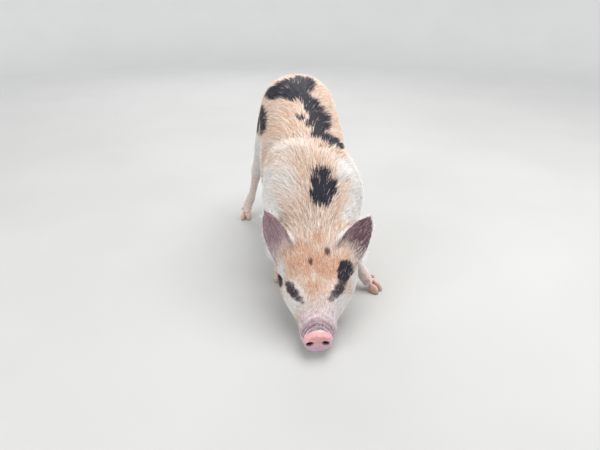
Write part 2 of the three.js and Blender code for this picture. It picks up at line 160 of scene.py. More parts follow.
def newMesh(name, points, faces):
    faces = np.asarray(faces, np.int32)
    mesh = bpy.data.meshes.new(name)
    mesh.vertices.add(len(points))
    mesh.vertices.foreach_set("co", np.asarray(points, np.float32).ravel())
    mesh.loops.add(faces.size)
    mesh.loops.foreach_set("vertex_index", faces.ravel())
    mesh.polygons.add(len(faces))
    mesh.polygons.foreach_set("loop_start", np.arange(0, faces.size, faces.shape[1], dtype=np.int32))
    mesh.polygons.foreach_set("use_smooth", np.full(len(faces), True))
    mesh.update(calc_edges=True)
    return mesh


def newObject(name, mesh, material=None):
    piece = bpy.data.objects.new(name, mesh)
    bpy.context.scene.collection.objects.link(piece)
    if material:
        mesh.materials.append(material)
    return piece


def readMesh(mesh):
    points = np.empty(len(mesh.vertices) * 3, np.float32)
    mesh.vertices.foreach_get("co", points)
    mesh.calc_loop_triangles()
    triangles = np.empty(len(mesh.loop_triangles) * 3, np.int32)
    mesh.loop_triangles.foreach_get("vertices", triangles)
    return points.reshape(-1, 3).astype(float), triangles.reshape(-1, 3)


def storeValues(mesh, name, values):
    kind = "FLOAT" if values.ndim == 1 else "FLOAT_COLOR"
    if values.ndim == 2:
        values = np.column_stack([values, np.ones(len(values))])
    layer = mesh.attributes.new(name, kind, "POINT")
    layer.data.foreach_set("value" if values.ndim == 1 else "color", values.astype(np.float32).ravel())


# along each triangle's normal, as long as twice its area
def faceCrosses(points, triangles):
    a, b, c = (points[triangles[:, corner]] for corner in range(3))
    return np.cross(b - a, c - a)


# each corner's normal is the sum of its triangles' normals, weighted by their area
def surfaceNormals(points, triangles):
    face = faceCrosses(points, triangles)
    total = np.zeros_like(points)
    for corner in range(3):
        for axis in range(3):
            total[:, axis] += np.bincount(triangles[:, corner], face[:, axis], len(points))
    return unitRows(total)


# each edge once, and which of them each triangle's three sides are
def edgesOf(triangles):
    sides = np.concatenate([triangles[:, [corner, (corner + 1) % 3]] for corner in range(3)])
    pairs, edge = np.unique(np.sort(sides, axis=1), axis=0, return_inverse=True)
    return pairs, edge.reshape(3, -1).T


# moves each row towards the mean of its neighbours by its own amount, again and again
def evened(rows, pairs, amount, rounds):
    count = len(rows)
    first, second = pairs[:, 0], pairs[:, 1]
    share = 1 / np.maximum(np.bincount(first, minlength=count) + np.bincount(second, minlength=count), 1)
    flat = rows.ndim == 1
    rows = rows[:, None].copy() if flat else rows.copy()
    for _ in range(rounds):
        for column in range(rows.shape[1]):
            values = rows[:, column]
            total = np.bincount(first, values[second], count) + np.bincount(second, values[first], count)
            rows[:, column] = values + amount * (total * share - values)
    return rows[:, 0] if flat else rows


# Splits each edge with both ends marked at its middle: its triangles become 2 or 4, without gaps.
def refined(points, triangles, marked, values):
    pairs, edge = edgesOf(triangles)
    split = marked[pairs].all(1)
    middle = np.where(split, len(points) + np.cumsum(split) - 1, -1)
    halves = pairs[split]
    points = np.concatenate([points, points[halves].mean(1)])
    values = {name: np.concatenate([rows, rows[halves].mean(1)]) for name, rows in values.items()}
    mids = middle[edge]
    cuts = (mids >= 0).sum(1)
    corners, inner = triangles[cuts == 3], mids[cuts == 3]
    four = [np.column_stack([corners[:, k], inner[:, k], inner[:, k - 1]]) for k in range(3)]
    one, mid = triangles[cuts == 1], mids[cuts == 1]
    turn = mid.argmax(1)
    rows = np.arange(len(one))
    a, b, c = (one[rows, (turn + k) % 3] for k in range(3))
    m = mid[rows, turn]
    two = [np.column_stack([a, m, c]), np.column_stack([m, b, c])]
    return points, np.concatenate([triangles[cuts == 0], *four, inner, *two]), values


def surfaceTree(points, triangles):
    return BVHTree.FromPolygons(points.tolist(), triangles.tolist(), all_triangles=True)


# The flesh of the frame, joined


def inMm(**sizes):
    return {name: size * mm for name, size in sizes.items()}


skinShape = {
    "voxel": 3.4 * mm,
    # the solids swell by this before they join, the thin ears more, and the skin shrinks by it after
    "grow": 1.0 * mm,
    "growEar": 2.1 * mm,
    "rounds": 26,
    "even": {"body": 0.95, "face": 0.2, "disc": 0.06, "ear": 0.06, "leg": 0.12, "tail": 0.05},
    # how far the labels of the parts spread into each other
    "soften": {
        "face": 16, "jaw": 5, "disc": 4, "ear": 9, "leg": 42, "thigh": 30, "foot": 8, "tail": 9,
    },
    # the coat's depth on each part of the body, from the skin to the tips
    "coatDepth": inMm(body=4.6, face=1.9, disc=0.2, ear=0.5, leg=1.6, tail=2.0),
}
sideNames = ("left", "right")
nodeNames = sorted(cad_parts)
fleshNodes = [name for name in nodeNames if "claw" not in name and not name.startswith("eye_")]


def kindsOf(node):
    return {
        "face": node in ("head", "jaw", "snout_disc") or node.startswith("eye_"),
        "jaw": node == "jaw",
        "disc": node == "snout_disc",
        "ear": node.startswith("ear_"),
        "leg": node.endswith(("lower_leg", "_foot")) or node.startswith("wattle"),
        "thigh": node.endswith("upper_leg"),
        "foot": node.endswith("_foot"),
        "tail": node == "tail",
    }


# A node's loose triangles with their shared corners joined.
def nodeSurface(node):
    points, triangles = readMesh(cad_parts[node].data)
    joined, index = np.unique(np.round(points, 6), axis=0, return_inverse=True)
    return joined, index.reshape(-1)[triangles]


# every flesh node's surface in one, moved out along its normals, with the eyeballs as filling for
# their sockets, and what kind of part each triangle is of
def fleshSurface():
    allPoints, allTriangles, kinds, start = [], [], [], 0
    for node in fleshNodes + ["eye_left", "eye_right"]:
        points, triangles = nodeSurface(node)
        grow = skinShape["growEar" if node.startswith("ear_") else "grow"]
        allPoints.append(points + grow * surfaceNormals(points, triangles))
        allTriangles.append(triangles + start)
        kinds += [list(kindsOf(node).values())] * len(triangles)
        start += len(points)
    return np.concatenate(allPoints), np.concatenate(allTriangles), np.array(kinds, float)


def voxelSurface(mesh, size):
    rough = newObject("rough", mesh)
    join = rough.modifiers.new("join", "REMESH")
    join.mode = "VOXEL"
    join.voxel_size = size
    bpy.context.view_layer.update()
    finished = rough.evaluated_get(bpy.context.evaluated_depsgraph_get())
    surface = readMesh(bpy.data.meshes.new_from_object(finished))
    bpy.data.objects.remove(rough)
    return surface


# The largest connected surface only: the two ends of each edge share the lower of their numbers,
# and each number is followed to the one it stands for, until none changes.
def largestSurface(points, triangles):
    ends = triangles[:, [0, 1, 2]].ravel(), triangles[:, [1, 2, 0]].ravel()
    label, changed = np.arange(len(points)), True
    while changed:
        held = [label[end] for end in ends]
        lower = label.copy()
        for end in held:
            np.minimum.at(lower, end, np.minimum(*held))
        lower = lower[lower]
        changed = (lower != label).any()
        label = lower
    kept = label == np.bincount(label).argmax()
    index = np.cumsum(kept) - 1
    return points[kept], index[triangles[kept[triangles[:, 0]]]]


# a table's value for each part of the body, mixed by how much of each part a point belongs to
def blendByPart(table, part):
    body = np.clip(1 - part["face"] - part["ear"] - part["leg"] - part["tail"], 0, 1)
    face = np.clip(part["face"] - part["disc"], 0, 1)
    shares = {"body": body, "face": face, **{name: part[name] for name in ("disc", "ear", "leg", "tail")}}
    return sum(table[name] * share for name, share in shares.items()) / sum(shares.values())


fleshPoints, fleshTriangles, fleshKinds = fleshSurface()
rough = voxelSurface(newMesh("flesh", fleshPoints, fleshTriangles), skinShape["voxel"])
points, triangles = largestSurface(*rough)
fleshTree = surfaceTree(fleshPoints, fleshTriangles)
nearest = [fleshTree.find_nearest(point)[2] for point in points.tolist()]
pairs, _ = edgesOf(triangles)
softPart = {
    name: evened(values, pairs, 0.9, skinShape["soften"][name])
    for name, values in zip(kindsOf("flesh"), fleshKinds[nearest].T)
}
points = evened(points, pairs, blendByPart(skinShape["even"], softPart), skinShape["rounds"])
print("flesh joined:", len(triangles), "triangles")

# Places on the head

discLow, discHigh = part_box("snout_disc")
discMiddle = np.array((discLow + discHigh) / 2)
discFace = discLow.y
eyeShape = {
    "outward": (0.66, -0.62, 0.42),  # of the left eye
    "opening": (7.4 * mm, 4.1 * mm),  # half its length and height between the lids
    "deeper": 1.6 * mm,  # the balls sit behind their solids by this
    "smaller": 0.6 * mm,
    "lids": (1.3 * mm, 0.9 * mm),  # thickness of the upper and the lower one
    "fillet": 7.0 * mm,
    "fold": 0.9 * mm,  # depth of the fold over the upper lid
}


# An eye's middle and radius, the way it looks, the way along its opening to the nose, and up
def eyeFrame(sideName):
    low, high = (np.array(corner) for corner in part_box("eye_" + sideName))
    side = 1 if sideName == "left" else -1
    outward = unitRows(np.array(eyeShape["outward"]) * [side, 1, 1])
    middle = (low + high) / 2 - outward * eyeShape["deeper"]
    toNose = discMiddle - middle
    toNose = unitRows(toNose - toNose.dot(outward) * outward)
    radius = (high - low).max() / 2 - eyeShape["smaller"]
    upward = np.cross(outward, toNose) * side
    return {"middle": middle, "radius": radius, "outward": outward, "nose": toNose, "up": upward}


eyes = {sideName: eyeFrame(sideName) for sideName in sideNames}

# Finer triangles for the face and the ears, and the finest around the eyes and on the snout


def eyeDistance(points):
    return np.min([np.linalg.norm(points - eye["middle"], axis=1) for eye in eyes.values()], axis=0)


# After each refining, rounds of evening and of nearly the same the other way take the steps out of
# the surface and keep its size.
def refineSkin(points, triangles, values, marked):
    before = len(points)
    points, triangles, values = refined(points, triangles, marked, values)
    pairs, _ = edgesOf(triangles)
    fresh = np.zeros(len(points))
    fresh[before:] = 1
    amount = np.clip(evened(fresh, pairs, 1.0, 3) * 3, 0, 1) * (0.3 + 0.3 * np.clip(values["ear"] * 2, 0, 1))
    for _ in range(9):
        points = evened(evened(points, pairs, amount, 1), pairs, -1.05 * amount, 1)
    return points, triangles, values


def onSnout(points):
    return (points[:, 1] < discFace + 0.026) & (np.abs(points[:, 0] - discMiddle[0]) < 0.04)


fineAreas = [
    lambda p, part: (part["face"] > 0.45) | (part["ear"] > 0.2),
    lambda p, part: (eyeDistance(p) < 0.019) | onSnout(p),
    lambda p, part: (eyeDistance(p) < 0.0145) & (eyeDistance(p) >= 0.0065),
]
for area in fineAreas:
    points, triangles, softPart = refineSkin(points, triangles, softPart, area(points, softPart))
print("skin refined:", len(triangles), "triangles")

# Ears: the ways from root to tip, out of the opening and across to the crown, from each one's solid


def earFrame(sideName):
    solid, _ = nodeSurface("ear_" + sideName)
    middle = solid.mean(0)
    _, _, axes = np.linalg.svd(solid - middle, full_matrices=False)
    up = axes[0] * np.sign((solid[solid[:, 2].argmax()] - middle) @ axes[0])
    facing = axes[2] * -np.sign(axes[2][1])
    across = np.cross(up, facing)
    crown = across * np.sign(across[0]) * (-1 if sideName == "left" else 1)
    reach = (solid - middle) @ up
    ends = {"low": reach.min(), "high": reach.max()}
    return {"middle": middle, "up": up, "facing": facing, "crown": crown, **ends}


ears = {sideName: earFrame(sideName) for sideName in sideNames}


def onSide(points, sideName):
    return (points[:, 0] > 0) == (sideName == "left")


# 0 at an ear's root and 1 at its tip, how squarely the skin faces the opening, and how far a point is
# from the ear's middle line towards the crown
def earPlace(points, normals):
    measures = np.zeros((3, len(points)))
    for sideName, ear in ears.items():
        rel = points - ear["middle"]
        climb = (rel @ ear["up"] - ear["low"]) / (ear["high"] - ear["low"])
        rows = (climb, normals @ ear["facing"], rel @ ear["crown"])
        measures = np.where(onSide(points, sideName), rows, measures)
    return measures


# Skin: pulled in by the coat's depth, then folds, lids, nostrils and mouth

faceShape = {
    "discCrease": 1.0 * mm,
    "discBulge": 1.6 * mm,
    "nostril": (6.4 * mm, 4.3 * mm, 8.0 * mm),  # half width, half height, depth
    "nostrils": (-13.8 * mm, 11.6 * mm),  # their middles, from the disc's middle
    "nostrilTilt": 0.2,
    "nostrilRim": 0.9 * mm,
    # distance behind the disc and depth of each fold
    "folds": ((5 * mm, 2.0 * mm), (10.5 * mm, 2.2 * mm), (16 * mm, 1.6 * mm), (23 * mm, 0.7 * mm)),
    "foldWidth": 1.7 * mm,
    "mouth": 2.2 * mm,
    "mouthWidth": 0.14,
    "lip": 0.7 * mm,
}


# how far each point is from the middle of the nearer nostril, 1 at its rim
def nostrilRing(points):
    halfWide, halfHigh, _ = faceShape["nostril"]
    rings = []
    for place in faceShape["nostrils"]:
        across = (points[:, 0] - discMiddle[0] - place) / halfWide
        tilt = faceShape["nostrilTilt"] * np.sign(place) * across * halfWide
        lift = (points[:, 2] - discMiddle[2] - 1.5 * mm + tilt) / halfHigh
        rings.append(np.hypot(across, lift))
    return np.minimum(*rings)


# A pit behind each nostril: the depth times a soft step on (x/a)^2 + (z/b)^2, on a face that first
# is made flat there, bulged by a square law and creased between the nostrils.
def shapeDisc(points, part):
    x, _, z = (points - discMiddle).T
    reach = np.hypot(x / ((discHigh.x - discLow.x) / 2), z / ((discHigh.z - discLow.z) / 2))
    front = (part["disc"] > 0.5) * (points[:, 1] < discFace + 9 * mm) * rampDown(reach, 0.75, 0.98)
    flat = (front > 0) & (reach > 0.5) & (reach < 0.75)
    basis = np.column_stack([np.ones(len(points)), x, z])
    plane = basis @ np.linalg.lstsq(basis[flat], points[flat, 1], rcond=None)[0]
    ring = nostrilRing(points)
    moved = points.copy()
    moved[:, 1] += front * (plane - moved[:, 1])
    moved[:, 1] -= front * faceShape["discBulge"] * (1 - reach**2)
    moved[:, 1] += front * faceShape["discCrease"] * bell(z, 1.5 * mm, 2.0 * mm)
    moved[:, 1] += front * faceShape["nostril"][2] * rampDown(ring, 0.55, 1.02)
    moved[:, 1] -= front * faceShape["nostrilRim"] * bell(ring, 1.25, 0.28)
    return moved


# Folds across the top of the snout: each is a groove of bell shape at its distance behind the disc,
# bowed forward at the sides, fading out below the middle of the snout.
def foldDepth(points, normals, part):
    behind = points[:, 1] - discHigh.y + 16 * (points[:, 0] - discMiddle[0]) ** 2
    behind += 2.2 * mm * (softNoise(points, 9 * mm, 5) - 0.5)
    depth = np.zeros(len(points))
    for place, deep in faceShape["folds"]:
        depth += deep * bell(behind, place, faceShape["foldWidth"])
        depth -= 0.55 * deep * bell(behind, place + 2.8 * mm, 1.9 * mm)
    return depth * rampUp(normals[:, 2], -0.35, 0.25) * part["face"] * (1 - part["disc"])


# 1 where the head's solid meets the jaw's
def mouthShare(part, width):
    return bell(part["jaw"] / np.maximum(part["face"], 0.3), 0.5, width)


def snoutOnly(part):
    return (part["face"] > 0.5) * (1 - part["disc"])


# The mouth is a groove along that line, with a lip over it.
def mouthLine(points, normals, part):
    groove = faceShape["mouth"] * mouthShare(part, faceShape["mouthWidth"])
    lip = faceShape["lip"] * bell(part["jaw"], 0.2, 0.1)
    return points - normals * ((groove - lip) * snoutOnly(part))[:, None]


# An eye's own measures at each point: along its opening to the nose, up, out, and how far the point
# is from the almond |y| < b (1 - (x/a)^2) between the lids, below 0 inside it.
def byEye(points, eye):
    rel = points - eye["middle"]
    height, x, y = (rel @ eye[way] for way in ("outward", "nose", "up"))
    longHalf, highHalf = eyeShape["opening"]
    almond = np.maximum(1 - (np.clip(x, -longHalf, longHalf) / longHalf) ** 2, 0) * highHalf
    edge = np.abs(y) - np.where(y > 0, almond, 0.8 * almond)
    beyond = 1.7 * np.maximum(np.abs(x) - longHalf, 0)
    return rel, height, x, y, np.hypot(edge * (edge > 0), beyond) + edge * (edge < 0)


# Lids: the skin lies a lid's thickness over the ball, blended into the face over a wide fillet, and
# between the lids it drops behind the ball. The fillet is max(a, b) + k/4 (1 - |a - b|/k)^2.
def eyeLids(points, pairs):
    moved = points.copy()
    longHalf, _ = eyeShape["opening"]
    upper, lower = eyeShape["lids"]
    fillet = eyeShape["fillet"]
    edges = np.full(len(points), 9.0)
    for eye in eyes.values():
        rel, height, x, y, edge = byEye(moved, eye)
        distance = np.linalg.norm(rel, axis=1)
        lid = eye["radius"] + lower + (upper - lower) * rampUp(y, -1.5 * mm, 1.5 * mm)
        close = np.maximum(1 - np.abs(distance - lid) / fillet, 0)
        wide = np.maximum(distance, lid) + fillet / 4 * close**2
        wanted = lid + (wide - lid) * rampUp(edge, 0.8 * mm, 5.5 * mm)
        over = rampUp(y, -2 * mm, 2 * mm)
        fold = over * bell(edge, 4.0 * mm, 1.0 * mm) + 0.7 * (1 - over) * bell(edge, 3.4 * mm, 1.0 * mm)
        wanted -= eyeShape["fold"] * fold * bell(x, 0, longHalf)
        wanted += 0.8 * mm * bell(edge, 7.0 * mm, 2.4 * mm) * bell(x, -2 * mm, 9 * mm) * over
        inside = rampDown(edge, -0.5 * mm, 0.15 * mm)
        wanted += inside * (eye["radius"] - 1.6 * mm - wanted)
        here = rampUp(height, -0.4 * eye["radius"], 0.4 * eye["radius"]) * (distance < 2.4 * eye["radius"])
        moved += unitRows(rel) * (here * (wanted - distance))[:, None]
        edges = np.where(here > 0.5, edge, edges)
    return evened(moved, pairs, 0.5 * bell(edges, 0, 0.9 * mm), 3)


bodyShape = {
    "hump": 2.6 * mm,
    "crease": 2.4 * mm,
    "creasePixels": ((269, 155), (284, 146), (300, 140), (314, 150)),
    "teat": (3.2 * mm, 3.0 * mm),  # height and spread
    "teatSpacing": 38 * mm,
    "teatRow": 26 * mm,
    "earRidge": (0.75 * mm, 8.5 * mm),  # height, and width of one wave
    "jowlFold": 2.6 * mm,
    "earFold": 1.4 * mm,
}


# where a pixel of the photo meets a surface
def onSurface(tree, pixel):
    width, height = cameraView["frameSize"]
    focal = cameraView["focal"]
    aim = Vector(((pixel[0] - width / 2) / focal, -(pixel[1] - height / 2) / focal, -1))
    hit = tree.ray_cast(camera.location, (camera.matrix_world.to_3x3() @ aim).normalized())[0]
    return None if hit is None else np.array(hit)


# The shoulders stand a little over the back behind them: a bell before and one behind a line that
# is a parabola through the places seen in the photo.
def shoulderHump(points, normals, tree):
    places = [onSurface(tree, pixel) for pixel in bodyShape["creasePixels"]]
    places = np.array([place for place in places if place is not None])
    curve = np.polyfit(places[:, 0], places[:, 1], 2)
    behind = points[:, 1] - np.polyval(curve, np.clip(points[:, 0], -0.075, 0.06))
    hump = bodyShape["hump"] * bell(behind, -17 * mm, 17 * mm)
    crease = bodyShape["crease"] * bell(behind, 9 * mm, 11 * mm)
    return points + normals * ((hump - crease) * rampUp(normals[:, 2], 0.2, 0.7))[:, None]


# Muscles and hollows of both sides: place, reach and height of each bell-shaped form
bodyForms = {
    "flank hollow": ((0.088, 0.112, 0.185), (0.06, 0.024, 0.05), -4.5 * mm),
    "thigh": ((0.09, 0.185, 0.215), (0.06, 0.042, 0.06), 2.5 * mm),
    "behind the shoulder": ((0.09, -0.018, 0.185), (0.06, 0.015, 0.065), -3.5 * mm),
    "upper arm": ((0.09, -0.062, 0.165), (0.05, 0.03, 0.04), 2.6 * mm),
    "shoulder blade": ((0.07, -0.085, 0.235), (0.04, 0.03, 0.045), 2.0 * mm),
    "before the shoulder": ((0.08, -0.128, 0.165), (0.05, 0.016, 0.055), -3.0 * mm),
    "seat": ((0.045, 0.275, 0.225), (0.035, 0.04, 0.05), 2.5 * mm),
    "behind the thigh": ((0.05, 0.262, 0.15), (0.04, 0.02, 0.03), -2.0 * mm),
    "cleft": ((0.0, 0.285, 0.185), (0.011, 0.06, 0.05), -5.0 * mm),
    "breastbone": ((0.0, -0.1, 0.1), (0.02, 0.05, 0.03), 2.0 * mm),
    "lip": ((0.026, -0.284, 0.026), (0.02, 0.018, 0.016), 1.6 * mm),
    "left shoulder": ((0.092, -0.078, 0.185), (0.05, 0.035, 0.045), 3.6 * mm),  # on that side only
}


def muscles(points, normals):
    lift = np.zeros(len(points))
    middle = np.where(points[:, 1] < -0.2, discMiddle[0], 0.0045)
    for name, (place, reach, height) in bodyForms.items():
        rel = np.column_stack([np.abs(points[:, 0] - middle), points[:, 1:]]) - place
        share = rampUp(points[:, 0], 0, 0.03) if name.startswith("left") else 1
        lift += share * height * np.exp(-((rel / reach) ** 2).sum(1))
    return points + normals * lift[:, None]


# Joints of the legs: height over the floor, reach along the leg, height of the form, and the side
# it is on, where 1 is behind the leg, -1 in front of it and 0 all round
legForms = {
    "fore": (
        (0.155, 0.016, 2.5 * mm, 1), (0.112, 0.018, -1.2 * mm, 1), (0.084, 0.012, 2.0 * mm, -1),
        (0.086, 0.010, 0.9 * mm, 0), (0.060, 0.012, -1.3 * mm, 0), (0.041, 0.007, 1.4 * mm, 0),
        (0.030, 0.006, -0.8 * mm, -1),
    ),
    "hind": (
        (0.138, 0.011, 3.6 * mm, 1), (0.165, 0.017, -2.6 * mm, 1), (0.128, 0.014, 1.2 * mm, 0),
        (0.150, 0.018, 1.5 * mm, -1), (0.085, 0.026, -1.5 * mm, 0), (0.045, 0.008, 1.5 * mm, 0),
        (0.031, 0.006, -0.8 * mm, -1),
    ),
}


# each leg's middle line is a cubic in the height, fitted to its solids
def legLine(name):
    solid = np.concatenate([nodeSurface(f"{name}_{piece}")[0] for piece in ("lower_leg", "foot")])
    return [np.polyfit(solid[:, 2], solid[:, axis], 3) for axis in (0, 1)]


def legJoints(points, normals, part):
    lift = np.zeros(len(points))
    height = np.clip(points[:, 2], 0.01, 0.19)
    for end, forms in legForms.items():
        for sideName in sideNames:
            line = legLine(f"{end}_{sideName}")
            rel = points[:, :2] - np.column_stack([np.polyval(row, height) for row in line])
            away = np.linalg.norm(rel, axis=1)
            behind = rel[:, 1] / np.maximum(away, 1e-6)
            mine = rampDown(away, 0.03, 0.045) * rampUp(part["leg"], 0.05, 0.4)
            for level, reach, form, side in forms:
                facing = rampUp(side * behind, 0.1, 0.95) if side else 1
                lift += form * bell(points[:, 2], level, reach) * facing * mine
    return points + normals * lift[:, None]


# where the cheeks meet the neck and the ears meet the head, the skin sinks in a shallow fold
def headCreases(points, normals, part):
    sides = rampUp(np.abs(normals[:, 0]), 0.3, 0.8) + rampUp(-normals[:, 2], 0.2, 0.7)
    jowl = bodyShape["jowlFold"] * bell(part["face"], 0.45, 0.16) * np.clip(sides, 0, 1)
    jowl = jowl * rampDown(part["nearEar"], 0.02, 0.2)
    earFold = bodyShape["earFold"] * bell(part["nearEar"], 0.35, 0.16)
    return points - normals * (jowl + earFold)[:, None]


# Two rows of teats under the belly, each a bell on a small round place.
def teats(points, normals):
    height, spread = bodyShape["teat"]
    spacing = bodyShape["teatSpacing"]
    along = points[:, 1] + 0.02
    place = along - np.clip(np.round(along / spacing), 0, 4) * spacing
    across = np.abs(points[:, 0]) - bodyShape["teatRow"]
    lift = height * np.exp(-(place**2 + across**2) / spread**2)
    return points + normals * (lift * (normals[:, 2] < -0.6))[:, None]


# how thick an ear is at each of its points, by a ray through it
def earThickness(points, normals, part):
    tree = surfaceTree(points, triangles)
    thick = np.full(len(points), 0.03)
    for row in np.where(part["ear"] > 0.1)[0]:
        hit = tree.ray_cast(Vector(points[row] - 0.2 * mm * normals[row]), Vector(-normals[row]), 0.03)
        thick[row] = hit[3] if hit[0] else 0.03
    return thick


# lengthwise ridges inside each ear: a cosine across it, fading out towards the tip
def earRidges(points, normals, part):
    climb, inside, across = earPlace(points, normals)
    height, width = bodyShape["earRidge"]
    wave = np.cos(2 * math.pi * (across / width + 0.12 * climb)) * rampDown(climb, 0.3, 0.75)
    return points + normals * (height * wave * part["ear"] * rampUp(inside, 0.3, 0.7))[:, None]


# The skin lies inside the solids by what they had swollen and by the coat's depth, but never by more
# than a share of an ear's thickness, and less deep around the eyes.
def pulledIn(points, normals, part):
    grown = skinShape["grow"] + (skinShape["growEar"] - skinShape["grow"]) * part["ear"]
    pull = grown + blendByPart(skinShape["coatDepth"], part)
    pull = evened(pull, pairs, 0.8 * (1 - part["disc"]), 8)
    pull = np.minimum(pull, 0.36 * evened(earThickness(points, normals, part), pairs, 0.5, 3))
    pull -= 1.2 * mm * rampDown(eyeDistance(points), 0.012, 0.028)
    return points - evened(normals, pairs, 0.8, 2) * pull[:, None]


pairs, _ = edgesOf(triangles)
softPart["nearEar"] = evened(softPart["ear"], pairs, 0.9, 14)
points = pulledIn(points, surfaceNormals(points, triangles), softPart)
normals = surfaceNormals(points, triangles)
points = shoulderHump(points, normals, surfaceTree(points, triangles))
points = muscles(points, normals)
points = legJoints(points, normals, softPart)
points = headCreases(points, normals, softPart)
points = earRidges(points, normals, softPart)
points = teats(points, normals)
points = points - normals * foldDepth(points, normals, softPart)[:, None]
points = mouthLine(points, normals, softPart)
points = shapeDisc(points, softPart)
points = eyeLids(points, pairs)
points = evened(points, pairs, 0.55 * bell(softPart["nearEar"], 0.4, 0.35), 10)
normals = surfaceNormals(points, triangles)
tree = surfaceTree(points, triangles)
print("skin shaped")

# Markings: patches of the coat, placed where the photo shows them or, on the hidden sides, at given places

coatColours = {
    "tan": paint(228, 190, 166),
    "peach": paint(240, 212, 194),
    "cream": paint(248, 234, 222),
    "ginger": paint(208, 146, 104),
    "white": paint(253, 250, 249),
    # pale hair, and painted highlight along the shoulders' arch
    "paleAndRimLit": paint(250, 233, 222),
    "grey": paint(176, 164, 168),
    "black": paint(40, 40, 53),
    "brown": paint(88, 66, 64),
    "slate": paint(54, 46, 57),
}

# each patch: its pixel in the photo, and how far it reaches sideways and up, in pixels
seenPatches = {
    "black": [
        (275, 94, 9, 6.5), (287, 89.5, 12, 9.5), (298, 87, 12, 10), (307, 86, 8, 8),
        (291, 97, 9, 4.5), (304, 97, 7, 7), (311, 105, 8, 7), (315, 111, 10, 7),
        (319, 118, 11.5, 7), (312, 124, 7, 5.5), (321, 127, 9, 6), (318, 134.5, 8, 5),
        (326.5, 138.5, 6.5, 4.5), (333, 142, 6, 4), (340, 146.5, 5.5, 3.4), (301, 118, 5, 3),
        (262.5, 120, 6.5, 16), (321.5, 172, 10, 5.5), (323, 182, 15, 9),
        (323.5, 192, 14.5, 9.5), (323, 201.5, 10.5, 6), (346, 264.5, 7, 5),
        (345, 270, 8, 6.5), (343.5, 276.5, 6, 5), (279.5, 281.5, 3.4, 7.5),
    ],
    "brown": [(327.2, 251.5, 3.4, 4.4), (310.5, 261.5, 2.6, 4.0), (321, 147, 3, 2)],
    "slate": [
        (342.5, 282, 5.6, 5.4), (340, 288, 5.8, 6), (335.5, 294, 5, 4.4),
        (331, 299, 3.4, 2.8), (288, 284, 3.4, 3.6), (290.8, 288.5, 4.8, 5.4),
        (294.5, 293.5, 4.8, 5), (299, 299, 3.8, 3.4), (302.5, 302.5, 2.2, 1.8),
    ],
    "ginger": [
        (311, 261, 31, 15), (302, 248, 16, 9), (328, 268, 15, 10), (296, 262, 14, 12),
        (318, 238, 8, 9), (336, 262, 8, 10), (314, 287, 8, 11),
    ],
    "white": [
        (266, 188, 12, 27), (357, 192, 12, 27), (257, 152, 8, 22), (292, 303, 15, 17),
        (289, 292, 8, 12), (340, 306, 13, 18), (280, 269, 6, 12), (355, 280, 5, 14),
        (347, 172, 10, 12), (275, 212, 7, 9), (349, 214, 8, 9),
    ],
    "paleAndRimLit": [
        # the first two lie along the shoulders' arch: partly pale hair, partly painted highlight of the
        # light along its rim
        (282, 150, 15, 11), (297, 144, 13, 6), (283, 172, 12, 16), (343, 168, 10, 12),
        (313.5, 277, 2.2, 6),
    ],
}
# on the hidden sides: a place in the part's frame, and a patch's half length and half height, in metres
hiddenPatches = {
    "black": [
        (0.10, 0.165, 0.285, 0.030, 0.024), (0.10, 0.138, 0.262, 0.024, 0.018),
        (0.10, 0.188, 0.262, 0.014, 0.018), (0.10, 0.022, 0.190, 0.024, 0.018),
        (0.10, 0.046, 0.176, 0.015, 0.012), (-0.11, -0.005, 0.170, 0.028, 0.019),
        (-0.11, 0.020, 0.188, 0.016, 0.013), (0.02, 0.29, 0.285, 0.03, 0.02),
    ],
    "white": [
        (0.10, -0.080, 0.185, 0.050, 0.060), (-0.11, -0.080, 0.185, 0.050, 0.060),
        (-0.12, 0.200, 0.170, 0.045, 0.050),
    ],
    "ginger": [
        (0.10, 0.060, 0.250, 0.060, 0.030), (-0.11, 0.070, 0.235, 0.050, 0.030),
        (0.0, 0.29, 0.24, 0.05, 0.04),
    ],
}
# how strong each marking is, where its edge begins and ends in sizes of its patch, and how much of the
# fine and of the slow noise its edge wanders by
patchEdges = {
    "black": (1, 0.72, 1.22, 1, 0),
    "brown": (1, 0.6, 1.3, 0.6, 0),
    "slate": (1, 0.5, 1.45, 0.9, 0),
    "ginger": (0.85, 0.35, 1.5, 0, 1),
    "white": (1, 0.4, 1.4, 0, 1),
    "paleAndRimLit": (0.9, 0.2, 1.5, 0, 1),
}


# where each point shows in the photo, and how squarely its skin faces the camera
def inPhoto(points, normals):
    rel = points - np.array(camera.location)
    facing = -(normals * unitRows(rel)).sum(1)
    x, y, z = (rel @ np.array(camera.matrix_world.to_3x3())).T
    width, height = cameraView["frameSize"]
    focal = cameraView["focal"]
    return width / 2 - focal * x / z, height / 2 + focal * y / z, facing


# The least distance from the patches' middles, counted in their own half sizes, where under 1 is
# inside: for those in the photo as it shows them, near their middle's place on the skin; for the
# hidden ones on the skin itself.
def patchDistance(points, normals, colour):
    nearest = np.full(len(points), 9.0)
    across, down, facing = inPhoto(points, normals)
    away = 3 * rampDown(facing, -0.05, 0.12)
    for x, y, wide, high in seenPatches[colour]:
        middle = onSurface(tree, (x, y))
        if middle is None:
            continue
        scale = np.linalg.norm(middle - np.array(camera.location)) / cameraView["focal"]
        reach = 2.6 * max(wide, high) * scale + 0.02
        far = 4 * rampUp(np.linalg.norm(points - middle, axis=1), reach, 1.6 * reach)
        nearest = np.minimum(nearest, np.hypot((across - x) / wide, (down - y) / high) + far + away)
    for *place, length, high in hiddenPatches.get(colour, []):
        aside = abs(place[0]) > 0.05
        aim = Vector((-math.copysign(1, place[0]), 0, 0)) if aside else Vector((0, -1, 0))
        rel = points - np.array(tree.ray_cast(Vector(place) - 0.3 * aim, aim)[0])
        depth, along = (rel[:, 0], rel[:, 1]) if aside else (rel[:, 1], rel[:, 0])
        nearest = np.minimum(nearest, np.hypot(along / length, np.hypot(rel[:, 2], depth / 2.5) / high))
    return nearest


